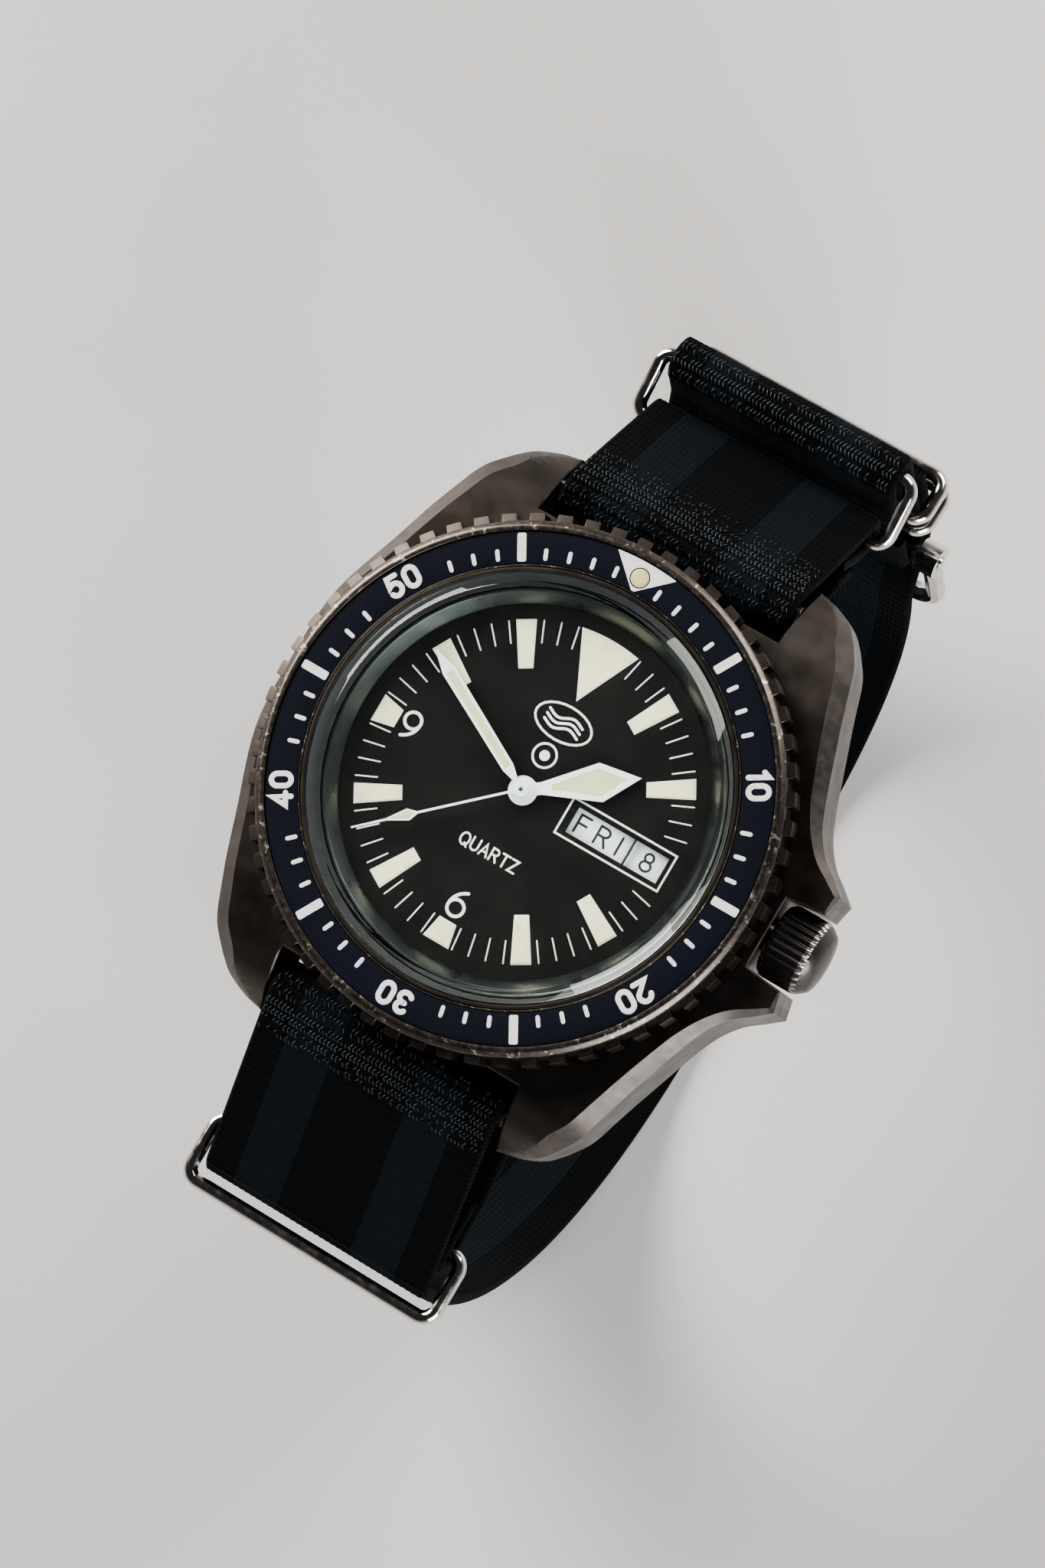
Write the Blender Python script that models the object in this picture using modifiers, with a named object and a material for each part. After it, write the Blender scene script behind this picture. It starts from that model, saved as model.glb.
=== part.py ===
"""Dive watch with a day-date dial on a striped pass-through fabric strap.

Frame: the watch stands on the underside of its closed strap loop. The origin is where the
dial's axis meets that flat underside, +X points to the crown (3 o'clock), +Y to 12 o'clock
and +Z out of the dial. Sizes are in millimetres until a mesh or a location is made.
The head's own heights are measured from the top of the bezel insert.
"""
import math

import bmesh
import bpy
from mathutils import Matrix, Vector

MM = 0.001
MERGE = 1e-6
SEAM = 3e-6

# ---------------------------------------------------------------- driving sizes (mm)
# glass and bezel, from the middle outwards
CRYSTAL_RADIUS = 15.85
CRYSTAL_THICKNESS = 2.2
CRYSTAL_PROUD = 0.5
CRYSTAL_BEVEL = 0.85
FIT = 0.1                     # gap between seated pieces
SLIP = 0.05                   # clearance of pieces that turn or slide
NECK_WALL = 0.3
NECK_STEP = 0.75
INSERT_LIP = 0.15
INSERT_WIDTH = 2.5
INSERT_THICKNESS = 0.8
BEZEL_RIM = 0.8
BEZEL_TOOTH_HEIGHT = 0.6
BEZEL_TEETH = 60
BEZEL_HEIGHT = 3.35
BEZEL_PROUD = 0.15
PIP_RADIUS = 0.7
PIP_INSET = 1.35              # from the insert's outer edge to the pip's centre
# case
CASE_FLANGE = 0.65            # case side beyond the bezel, at 9 o'clock
CASE_HEIGHT = 7.1             # top deck to underside
CASE_CHAMFER = 0.45
END_INSET = 1.6               # case end between the lugs, inside the bezel's radius
LUG_REACH = 5.1               # lug tip beyond the case end
LUG_CLEARANCE = 0.4           # strap edge to lug, each side
LUG_TIP_WIDTH = 4.4
LUG_DROP = 1.0                # lug tip below the case underside
GUARD_REACH = 3.0             # crown guard beyond the case side
GUARD_SPAN = 9.6              # both guards' flat crests, along Y
CASEBACK_RADIUS = 16.2
CASEBACK_PROUD = 1.0
CASEBACK_THICKNESS = 2.15
CASEBACK_NOTCHES = 6
# dial side
REHAUT_WIDTH = 1.05
DIAL_DEPTH = 3.05             # insert's top to dial's face
DIAL_THICKNESS = 0.38
WINDOW_START = 4.1
WINDOW_LENGTH = 7.76
WINDOW_HEIGHT = 2.04
DISC_SPLIT = 9.0              # between the day disc and the date ring
DISC_THICKNESS = 0.25
HOUR_HAND_LENGTH = 8.8
MINUTE_HAND_LENGTH = 12.5
SECONDS_HAND_LENGTH = 12.9
HAND_THICKNESS = 0.13
SECONDS_ARBOR = 0.15
HOUR_ANGLE = 54.8             # clock angles of the hands at rest, 1:49:38
MINUTE_ANGLE = 297.8
SECONDS_ANGLE = 228.0
# crown
CROWN_RADIUS = 2.95
CROWN_LENGTH = 4.3
CROWN_DEPTH = 6.25            # insert's top to crown axis
CROWN_FLUTES = 24
STEM_RADIUS = 0.6
STEM_INNER = 8.4              # from the dial's axis to the stem's inner end
TUBE_OUTER = 1.3
CROWN_BORE = 1.75
LEVER_ARM = 3.0
# movement
PLATE_THICKNESS = 0.8
WHEEL_THICKNESS = 0.2
MODULE = 0.1
BATTERY_RADIUS = 3.4
BATTERY_HEIGHT = 2.5
# strap
STRAP_WIDTH = 20.0
STRAP_THICKNESS = 1.2
BAR_RADIUS = 0.9
BAR_TIP_RADIUS = 0.45
BAR_INSET = 2.5               # bar axis inside the lug tip
BAR_DEPTH = 7.2               # insert's top to bar axis
LOOP_DEPTH = 59.0             # insert's top to the surface that the watch stands on
RING12_OUT = 8.45             # 12 side: near bar outwards from, and below, the strap bar
RING12_DROP = 9.4
RING12_TILT = 15.2
RING6_OUT = 11.15
RING6_DROP = 8.9
LOOP_FLAT = 9.0               # half the flat stretch at the bottom
WIRE_RADIUS = 0.575
RING_SPAN = 5.34              # between the two bars of a ring
KEEPER_SPAN = 3.9
KEEPER_HEIGHTS = (("keeper_fixed", 6.0), ("keeper_floating", 8.9))   # above the buckle bar
BUCKLE_WIRE = 0.8
BUCKLE_LENGTH = 11.0
BUCKLE_TILT = 15.0            # degrees from vertical
BUCKLE_DROP = 33.0            # insert's top to the buckle bar
TONGUE_RADIUS = 0.5
HOLE_SPACING = 6.0
SPARE_HOLES = 4
TAIL_LENGTH = 12.0            # beyond the buckle bar

# ---------------------------------------------------------------- worked-out sizes (mm)
SEAT_RADIUS = CRYSTAL_RADIUS + FIT
BEZEL_BORE = SEAT_RADIUS + NECK_WALL + SLIP
INSERT_INNER = BEZEL_BORE + INSERT_LIP
INSERT_OUTER = INSERT_INNER + INSERT_WIDTH
RIM_RADIUS = INSERT_OUTER + BEZEL_RIM
BEZEL_RADIUS = RIM_RADIUS + BEZEL_TOOTH_HEIGHT
NECK_RADIUS = SEAT_RADIUS + NECK_WALL + NECK_STEP
DECK_Z = BEZEL_PROUD - BEZEL_HEIGHT - 0.3
BELLY_Z = DECK_Z - CASE_HEIGHT
BACK_Z = BELLY_Z - CASEBACK_PROUD
CASE_SIDE = BEZEL_RADIUS + CASE_FLANGE
CASE_END = BEZEL_RADIUS - END_INSET
LUG_TIP = CASE_END + LUG_REACH
LUG_INNER = STRAP_WIDTH / 2 + LUG_CLEARANCE
CRYSTAL_BASE = CRYSTAL_PROUD - CRYSTAL_THICKNESS
GASKET_THICKNESS = 0.28
LEDGE_Z = CRYSTAL_BASE - GASKET_THICKNESS - 2 * 0.02
BORE_RADIUS = CRYSTAL_RADIUS - 0.9
DIAL_RADIUS = BORE_RADIUS - 0.35
DIAL_BASE = -DIAL_DEPTH - DIAL_THICKNESS
DISC_TOP = DIAL_BASE - 0.12
DISC_BASE = DISC_TOP - DISC_THICKNESS
PLATE_TOP = DISC_BASE - 0.5
PLATE_BASE = PLATE_TOP - PLATE_THICKNESS
CROWN_Z = -CROWN_DEPTH
BRIDGE_TOP = PLATE_BASE - 2.4
BRIDGE_BASE = BRIDGE_TOP - 0.5
PLATE_RADIUS = BORE_RADIUS - 2.05
BACK_TOP = BACK_Z + CASEBACK_THICKNESS
TUBE_INNER = STEM_RADIUS + 0.15
HOUR_HAND_Z = -DIAL_DEPTH + 0.45
MINUTE_HAND_Z = HOUR_HAND_Z + 0.32
SECONDS_HAND_Z = MINUTE_HAND_Z + 0.33
HOUR_TUBE = SECONDS_ARBOR + 0.45
MINUTE_TUBE = SECONDS_ARBOR + 0.27
BAR_Y = LUG_TIP - BAR_INSET
BAR_Z = -BAR_DEPTH
WRAP = STRAP_THICKNESS / 2 + SLIP      # strap's middle line from the surface it wraps
UNDER_Z = BACK_Z - 0.15 - STRAP_THICKNESS / 2
REST_Z = -LOOP_DEPTH + STRAP_THICKNESS / 2
STRAP_MIDDLE = WIRE_RADIUS + WRAP
STACK = STRAP_THICKNESS + 0.1          # from one strap layer's middle to the next one's
RING12_NEAR = (BAR_Y + RING12_OUT, BAR_Z - RING12_DROP)
RING12_FAR = (RING12_NEAR[0] + RING_SPAN * math.cos(math.radians(RING12_TILT)),
              RING12_NEAR[1] + RING_SPAN * math.sin(math.radians(RING12_TILT)))
RING6_NEAR = (-BAR_Y - RING6_OUT, BAR_Z - RING6_DROP)
RING6_FAR = (RING6_NEAR[0] - RING_SPAN, RING6_NEAR[1])
HANG_6 = RING6_NEAR[0] - STRAP_MIDDLE - STRAP_THICKNESS - 1.07
BUCKLE_Y = RING12_FAR[0] - 2.35
THIRD_SPAN = 34 * MODULE

HEAD = None
PARTS = None
CUTTERS = None


# ---------------------------------------------------------------- scene and materials
def start_scene():
    """Empty the scene and make the collections and the head's empty."""
    global HEAD, PARTS, CUTTERS
    for old in list(bpy.data.objects):
        bpy.data.objects.remove(old, do_unlink=True)
    PARTS = bpy.data.collections.new("dive_watch")
    CUTTERS = bpy.data.collections.new("cutters")
    bpy.context.scene.collection.children.link(PARTS)
    bpy.context.scene.collection.children.link(CUTTERS)
    HEAD = bpy.data.objects.new("head_frame", None)
    HEAD.location = (0, 0, LOOP_DEPTH * MM)
    PARTS.objects.link(HEAD)


def finish_of(name, color, roughness, metallic=0.0, transmission=0.0):
    """A Principled material with one colour and finish."""
    mat = bpy.data.materials.new(name)
    mat.use_nodes = True
    shader = mat.node_tree.nodes["Principled BSDF"]
    shader.inputs["Base Color"].default_value = (*color, 1)
    shader.inputs["Roughness"].default_value = roughness
    shader.inputs["Metallic"].default_value = metallic
    shader.inputs["Transmission Weight"].default_value = transmission
    return mat


STEEL = ((0.32, 0.30, 0.28), 0.38, 1.0)
POLISHED = ((0.62, 0.60, 0.58), 0.15, 1.0)
BRASS = ((0.72, 0.55, 0.28), 0.3, 1.0)
FABRIC = ((0.012, 0.013, 0.015), 0.9)
RUBBER = ((0.02, 0.02, 0.02), 0.7)
WHITE = ((0.85, 0.85, 0.83), 0.4)


def dress(obj, finish):
    """Give the object its own material from a finish tuple."""
    obj.data.materials.clear()
    obj.data.materials.append(finish_of(obj.name, *finish))


# ---------------------------------------------------------------- shape helpers
def place(name, mesh, finish=None, center=(0, 0, 0), collection=None):
    """Link a mesh as an object of the head; its location is in head millimetres."""
    obj = bpy.data.objects.new(name, mesh)
    obj.parent = HEAD
    obj.location = Vector(center) * MM
    (collection or PARTS).objects.link(obj)
    if finish:
        dress(obj, finish)
    return obj


def as_helper(obj):
    """Keep an object out of the build: it only cuts or joins."""
    for owner in list(obj.users_collection):
        owner.objects.unlink(obj)
    CUTTERS.objects.link(obj)
    obj.hide_render = True
    obj.display_type = "WIRE"
    return obj


def combine(obj, helper, operation):
    """Boolean the helper into the object."""
    as_helper(helper)
    modifier = obj.modifiers.new(helper.name, "BOOLEAN")
    modifier.operation = operation
    modifier.object = helper
    modifier.solver = "EXACT"


def cut(obj, *helpers):
    for helper in helpers:
        combine(obj, helper, "DIFFERENCE")
    return obj


def join(obj, *helpers):
    for helper in helpers:
        combine(obj, helper, "UNION")
    return obj


def smooth(obj, angle=35.0):
    """Smooth shading with sharp edges kept, on the object's base mesh."""
    obj.data.shade_smooth()
    obj.data.set_sharp_from_angle(angle=math.radians(angle))
    return obj


def turned(name, profile, finish=None, center=(0, 0, 0), segments=48, closed=True):
    """Turn a profile of (radius, z) about Z; it runs down its outer side first."""
    mesh = bpy.data.meshes.new(name)
    points = [(radius * MM, 0, z * MM) for radius, z in profile]
    edges = [(i, i + 1) for i in range(len(points) - 1)]
    if closed:
        edges.append((len(points) - 1, 0))
    mesh.from_pydata(points, edges, [])
    obj = place(name, mesh, finish, center)
    screw = obj.modifiers.new("turn", "SCREW")
    screw.steps = segments
    screw.render_steps = segments
    screw.use_merge_vertices = True
    screw.merge_threshold = MERGE
    screw.use_smooth_shade = True
    return obj


def ring(name, outer, inner, top, base, finish=None, center=(0, 0, 0), segments=48):
    """A plain turned ring of rectangular section."""
    profile = [(outer, top), (outer, base), (inner, base), (inner, top)]
    return turned(name, profile, finish, center, segments)


def disc(name, radius, top, base, finish=None, center=(0, 0, 0), segments=24):
    """A plain turned disc."""
    profile = [(0, top), (radius, top), (radius, base), (0, base)]
    return turned(name, profile, finish, center, segments, closed=False)


def mesh_of_curve(obj):
    """Turn a curve object into a welded mesh object of the same name and place."""
    name = obj.name
    bpy.context.view_layer.update()
    evaluated = obj.evaluated_get(bpy.context.evaluated_depsgraph_get())
    mesh = bpy.data.meshes.new_from_object(evaluated)
    work = bmesh.new()
    work.from_mesh(mesh)
    bmesh.ops.remove_doubles(work, verts=work.verts, dist=MERGE)
    bmesh.ops.recalc_face_normals(work, faces=work.faces)
    work.to_mesh(mesh)
    work.free()
    made = bpy.data.objects.new(name + "_mesh", mesh)
    made.matrix_world = obj.matrix_world
    PARTS.objects.link(made)
    bpy.data.objects.remove(obj, do_unlink=True)
    made.name = name
    return made


def curve_object(name, splines, cyclic=True, dimensions="3D"):
    """A POLY curve object in the head's frame from lists of 3-D points."""
    data = bpy.data.curves.new(name, "CURVE")
    data.dimensions = dimensions
    for points in splines:
        spline = data.splines.new("POLY")
        spline.points.add(len(points) - 1)
        for slot, point in zip(spline.points, points):
            slot.co = (*(Vector(point) * MM), 1)
        spline.use_cyclic_u = cyclic
    obj = bpy.data.objects.new(name, data)
    PARTS.objects.link(obj)
    return obj


def plate(name, outlines, top, base, finish=None, center=(0, 0, 0)):
    """Flat outlines (the first one solid, the others holes) extruded between two heights."""
    splines = [[(x, y, 0) for x, y in outline] for outline in outlines]
    curve = curve_object(name, splines, dimensions="2D")
    curve.data.fill_mode = "BOTH"
    curve.data.extrude = (top - base) / 2 * MM
    made = mesh_of_curve(curve)
    made.data.transform(Matrix.Translation((0, 0, (top + base) / 2 * MM)))
    made.parent = HEAD
    made.location = Vector(center) * MM
    if finish:
        dress(made, finish)
    return made


def lay_on_side(obj):
    """Turn a plate drawn in (Y, Z) so that its extrusion runs along X."""
    obj.data.transform(Matrix(((0, 0, 1, 0), (1, 0, 0, 0), (0, 1, 0, 0), (0, 0, 0, 1))))
    return obj


def wire(name, points, radius, finish=None, cyclic=False, sides=2):
    """A round wire along 3-D points, as a mesh."""
    curve = curve_object(name, [points], cyclic)
    curve.data.bevel_depth = radius * MM
    curve.data.bevel_resolution = sides
    curve.data.use_fill_caps = not cyclic
    made = mesh_of_curve(curve)
    made.parent = HEAD
    if finish:
        dress(made, finish)
    return smooth(made)


def rod(name, radius, start, end, finish=None, segments=16):
    """A solid round rod between two points."""
    start, end = Vector(start), Vector(end)
    along = end - start
    turn = along.to_track_quat("Z", "Y").to_matrix().to_4x4()
    work = bmesh.new()
    bmesh.ops.create_cone(work, cap_ends=True, segments=segments, radius1=radius * MM,
                          radius2=radius * MM, depth=along.length * MM, matrix=turn)
    mesh = bpy.data.meshes.new(name)
    work.to_mesh(mesh)
    work.free()
    return smooth(place(name, mesh, finish, (start + end) / 2))


def box(name, low, high, finish=None):
    """A box between two corners."""
    low, high = Vector(low), Vector(high)
    work = bmesh.new()
    size = Matrix.Diagonal((*((high - low) * MM), 1))
    bmesh.ops.create_cube(work, size=1, matrix=size)
    mesh = bpy.data.meshes.new(name)
    work.to_mesh(mesh)
    work.free()
    return place(name, mesh, finish, (low + high) / 2)


# ---------------------------------------------------------------- outlines
def circle(radius, count=24, center=(0, 0)):
    """Points round a circle."""
    turn = 2 * math.pi / count
    return [(center[0] + radius * math.cos(i * turn), center[1] + radius * math.sin(i * turn))
            for i in range(count)]


def arc(center, radius, start, end, count):
    """Points along an arc; angles in degrees."""
    steps = [math.radians(start + (end - start) * i / count) for i in range(count + 1)]
    return [(center[0] + radius * math.cos(a), center[1] + radius * math.sin(a)) for a in steps]


def toothed(teeth, pitch_radius, depth, fill=0.5, phase=0.0):
    """A ring of straight-sided teeth: the crest takes the given share of each pitch."""
    points = []
    pitch = 2 * math.pi / teeth
    for i in range(teeth):
        middle = i * pitch + phase
        for angle, radius in ((-0.5, -1), (-0.5 * fill, 1), (0.5 * fill, 1), (0.5, -1)):
            reach = pitch_radius + radius * depth / 2
            if abs(angle) == 0.5:
                angle = math.copysign(0.5 - 0.12, angle)
            points.append((reach * math.cos(middle + angle * pitch),
                           reach * math.sin(middle + angle * pitch)))
    return points


def pointed(teeth, pitch_radius, module, phase=0.0):
    """A fine wheel's outline: one tip and one root for each tooth."""
    points = []
    half = math.pi / teeth
    for i in range(teeth):
        tip = 2 * i * half + phase
        for angle, reach in ((tip, pitch_radius + 0.7 * module),
                             (tip + half, pitch_radius - 0.9 * module)):
            points.append((reach * math.cos(angle), reach * math.sin(angle)))
    return points


def clock(angle, radius):
    """The point at a clock angle (degrees from 12, clockwise) and radius."""
    turn = math.radians(90 - angle)
    return (radius * math.cos(turn), radius * math.sin(turn))


def turn_outline(points, angle):
    """Turn an outline drawn towards 12 o'clock to a clock angle."""
    swing = math.radians(-angle)
    cos, sin = math.cos(swing), math.sin(swing)
    return [(x * cos - y * sin, x * sin + y * cos) for x, y in points]


# ---------------------------------------------------------------- case
def case_outline():
    """The case seen from above: lugs, sides and crown guards."""
    side = CASE_SIDE
    tip_x = LUG_INNER + LUG_TIP_WIDTH
    waist = CASE_END - 1.3
    right = [(LUG_INNER, LUG_TIP), (LUG_INNER + 1.7, LUG_TIP - 0.4), (tip_x - 1.1, LUG_TIP - 1.2),
             (tip_x, LUG_TIP - 2.3), (tip_x + 1.2, LUG_TIP - 4.0), (tip_x + 2.1, waist)]
    guard = side + GUARD_REACH
    crest = GUARD_SPAN / 2
    left = right + [(side - 2.35, CASE_END - 6.6), (side - 0.3, CROWN_RADIUS + 2.8), (side, 1.9)]
    crown_side = right + [(side - 2.5, crest + 7.2), (side - 1.3, crest + 4.0),
                          (side - 0.1, crest + 2.2), (side + 1.1, crest + 1.4),
                          (side + 2.4, crest + 0.4), (guard, crest),
                          (guard - 0.05, CROWN_RADIUS + 0.25), (side - 0.4, CROWN_RADIUS + 0.2)]
    quarter = crown_side + [(x, -y) for x, y in reversed(crown_side)]
    other = [(-x, -y) for x, y in left] + [(-x, y) for x, y in reversed(left)]
    slot = [(-LUG_INNER, -CASE_END), (LUG_INNER, -CASE_END)]
    top = [(-LUG_INNER, CASE_END), (LUG_INNER, CASE_END)]
    return quarter + slot[::-1] + other + top


def deck_height(y):
    """Height of the case's top at a distance from the crown's line."""
    return along_steps(abs(y), [(CASE_END - 3.6, 0), (CASE_END + 0.4, -0.75),
                                (LUG_TIP - 1.8, -2.6), (LUG_TIP - 0.35, -4.5),
                                (LUG_TIP, -5.3)]) + DECK_Z


def belly_height(y):
    """Height of the case's underside at a distance from the crown's line."""
    return along_steps(abs(y), [(CASE_END - 2.6, 0), (CASE_END + 1.7, -0.75 * LUG_DROP),
                                (LUG_TIP - 0.7, -LUG_DROP), (LUG_TIP, -0.4)]) + BELLY_Z


def along_steps(y, steps):
    """Straight-line value between (y, height) steps."""
    if y <= steps[0][0]:
        return steps[0][1]
    for (y0, h0), (y1, h1) in zip(steps, steps[1:]):
        if y <= y1:
            return h0 + (h1 - h0) * (y - y0) / (y1 - y0)
    return steps[-1][1]


def make_case_blank():
    """The chamfered outline, with its top and underside bent down over the lugs."""
    curve = curve_object("case", [[(x, y, 0) for x, y in case_outline()]], dimensions="2D")
    curve.data.fill_mode = "BOTH"
    curve.data.extrude = (CASE_HEIGHT / 2 - CASE_CHAMFER) * MM
    curve.data.bevel_depth = CASE_CHAMFER * MM
    curve.data.bevel_resolution = 0
    curve.data.offset = -CASE_CHAMFER * MM
    case = mesh_of_curve(curve)
    work = bmesh.new()
    work.from_mesh(case.data)
    breaks = (CASE_END - 3.6, CASE_END - 2.6, CASE_END + 0.4, CASE_END + 1.7, LUG_TIP - 1.8,
              LUG_TIP - 0.7, LUG_TIP - 0.35)
    for y in breaks:
        for side in (-1, 1):
            bmesh.ops.bisect_plane(work, geom=work.verts[:] + work.edges[:] + work.faces[:],
                                   plane_co=(0, side * y * MM, 0), plane_no=(0, 1, 0))
    for vert in work.verts:
        y, z = vert.co.y / MM, vert.co.z / MM
        level = deck_height(y) if z > 0 else belly_height(y)
        vert.co.z = (level + z - math.copysign(CASE_HEIGHT / 2, z)) * MM
    work.to_mesh(case.data)
    work.free()
    case.parent = HEAD
    dress(case, STEEL)
    return case


def make_case():
    case = make_case_blank()
    step = -0.95
    neck = turned("case_neck", [(NECK_RADIUS - NECK_STEP, 0.02), (NECK_RADIUS - NECK_STEP, step),
                                (NECK_RADIUS, step), (NECK_RADIUS, DECK_Z - 0.6),
                                (BORE_RADIUS - 0.5, DECK_Z - 0.6), (BORE_RADIUS - 0.5, 0.02)])
    join(case, neck)
    hollow = turned("case_hollow", [(0, 1), (SEAT_RADIUS, 1), (SEAT_RADIUS, LEDGE_Z),
                                    (BORE_RADIUS, LEDGE_Z), (BORE_RADIUS, BACK_TOP + 0.02),
                                    (CASEBACK_RADIUS + SLIP, BACK_TOP + 0.02),
                                    (CASEBACK_RADIUS + SLIP, BELLY_Z - 1), (0, BELLY_Z - 1)],
                    closed=False)
    groove = ring("neck_groove", NECK_RADIUS + 0.2, NECK_RADIUS - 0.3, -1.95, -2.45)
    tube = rod("tube_hole", TUBE_OUTER + 0.02, (BORE_RADIUS - 2, 0, CROWN_Z),
               (CASE_SIDE + 2, 0, CROWN_Z), segments=18)
    cut(case, hollow, groove, tube)
    for side in (-1, 1):
        for end in (-1, 1):
            name = "bar_hole_%s%s" % ("l" if side < 0 else "r", "6" if end < 0 else "12")
            y = end * BAR_Y
            cut(case, rod(name, BAR_TIP_RADIUS + SLIP, (side * (LUG_INNER - 1), y, BAR_Z),
                          (side * (LUG_INNER + 1.6), y, BAR_Z), segments=12))


def make_caseback():
    """A dished screw-in back with a gasket groove and key notches."""
    rim = CASEBACK_RADIUS
    dish = rim - 2.4
    floor = BACK_Z + 0.75
    groove = BACK_TOP - 0.55
    profile = [(0, floor), (dish, floor), (dish, BACK_TOP), (rim - 1.0, BACK_TOP),
               (rim - 1.0, groove), (rim - 0.35, groove), (rim - 0.35, BACK_TOP),
               (rim, BACK_TOP), (rim, BACK_Z + 0.35), (rim - 0.35, BACK_Z), (0, BACK_Z)]
    back = turned("caseback", profile, STEEL, segments=36, closed=False)
    for i in range(CASEBACK_NOTCHES):
        x, y = clock(360 * (i + 0.5) / CASEBACK_NOTCHES, rim - 0.5)
        cut(back, disc("back_notch_%d" % i, 1.1, BACK_Z + 0.45, BACK_Z - 1, center=(x, y, 0),
                       segments=12))
    ring("caseback_gasket", rim - 0.35 - SLIP, rim - 1.0 + SLIP, BACK_TOP - 0.02, groove + 0.03,
         RUBBER, segments=36)


# ---------------------------------------------------------------- glass and bezel
def make_crystal():
    radius = CRYSTAL_RADIUS
    top = CRYSTAL_PROUD
    profile = [(0, top), (radius - CRYSTAL_BEVEL, top), (radius, top - 0.6 * CRYSTAL_BEVEL),
               (radius, CRYSTAL_BASE + 0.1), (radius - 0.1, CRYSTAL_BASE), (0, CRYSTAL_BASE)]
    glass = ((0.9, 0.95, 0.92), 0.02, 0.0, 1.0)
    turned("crystal", profile, glass, segments=40, closed=False)
    ring("crystal_gasket", radius, BORE_RADIUS + 0.02, CRYSTAL_BASE - 0.02, LEDGE_Z + 0.02,
         RUBBER)


def make_bezel():
    """Turned ring with a seat for the insert and a band of square grip notches."""
    top, base = BEZEL_PROUD, BEZEL_PROUD - BEZEL_HEIGHT
    seat = -INSERT_THICKNESS - 0.02
    step = -0.95 + SLIP
    wide = NECK_RADIUS + SLIP
    profile = [(RIM_RADIUS - 0.35, top), (RIM_RADIUS, top - 0.3), (RIM_RADIUS, base + 0.5),
               (RIM_RADIUS - 0.5, base), (wide, base), (wide, step), (BEZEL_BORE, step),
               (BEZEL_BORE, top - 0.1), (INSERT_INNER - 0.02, top - 0.1),
               (INSERT_INNER - 0.02, seat), (INSERT_OUTER + 0.02, seat), (INSERT_OUTER + 0.02, top)]
    bezel = turned("bezel_ring", profile, STEEL, segments=60)
    middle = RIM_RADIUS + BEZEL_TOOTH_HEIGHT / 2 - 0.05
    outline = toothed(BEZEL_TEETH, middle, BEZEL_TOOTH_HEIGHT + 0.1, 0.52, math.pi / BEZEL_TEETH)
    grip = plate("bezel_grip", [outline, circle(RIM_RADIUS - 0.6, 30)], -0.45, base + 0.35)
    join(bezel, grip)
    pip_y = INSERT_OUTER - PIP_INSET
    insert = ring("bezel_insert", INSERT_OUTER, INSERT_INNER, 0, -INSERT_THICKNESS,
                  ((0.012, 0.016, 0.03), 0.55), segments=60)
    cut(insert, disc("pip_hole", PIP_RADIUS + SLIP, 1, -INSERT_THICKNESS + 0.2,
                     center=(0, pip_y, 0), segments=20))
    profile = [(0, 0.16), (0.6 * PIP_RADIUS, 0.1), (PIP_RADIUS, -0.06),
               (PIP_RADIUS, -INSERT_THICKNESS + 0.25), (0, -INSERT_THICKNESS + 0.25)]
    turned("bezel_pip", profile, ((0.8, 0.78, 0.45), 0.4), (0, pip_y, 0), 20, closed=False)
    ring("bezel_oring", NECK_RADIUS + 0.02, NECK_RADIUS - 0.22, -2.0, -2.4, RUBBER)
    spring = arc((0, 0), NECK_RADIUS + 1.1, 20, 340, 24) + arc((0, 0), NECK_RADIUS + 0.5, 340, 20, 24)
    plate("click_spring", [spring], base - 0.08, DECK_Z + 0.06, POLISHED)


# ---------------------------------------------------------------- dial side
def make_dial():
    visible = BORE_RADIUS - FIT - REHAUT_WIDTH
    profile = [(BORE_RADIUS - FIT, CRYSTAL_BASE - 0.1), (BORE_RADIUS - FIT, -DIAL_DEPTH + 0.02),
               (visible, -DIAL_DEPTH + 0.02), (visible, -DIAL_DEPTH + 0.12),
               (BORE_RADIUS - FIT - 0.25, CRYSTAL_BASE - 0.1)]
    turned("rehaut_ring", profile, ((0.04, 0.04, 0.04), 0.3, 0.5), segments=48)
    dial = disc("dial", DIAL_RADIUS, -DIAL_DEPTH, DIAL_BASE, ((0.012, 0.012, 0.012), 0.7),
                segments=48)
    half = WINDOW_HEIGHT / 2
    window = box("dial_window", (WINDOW_START, -half, -10), (WINDOW_START + WINDOW_LENGTH, half, 0))
    cut(dial, window, disc("dial_hole", HOUR_TUBE + 0.12, 0, -10, segments=16))
    ring("day_disc", DISC_SPLIT - 0.05, WINDOW_START - 0.5, DISC_TOP, DISC_BASE, WHITE,
         segments=32)
    teeth = toothed(31, DISC_SPLIT + 0.35, 0.5, 0.4)
    plate("date_ring", [circle(WINDOW_START + WINDOW_LENGTH + 0.6, 32), teeth], DISC_TOP,
          DISC_BASE, WHITE)


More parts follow.
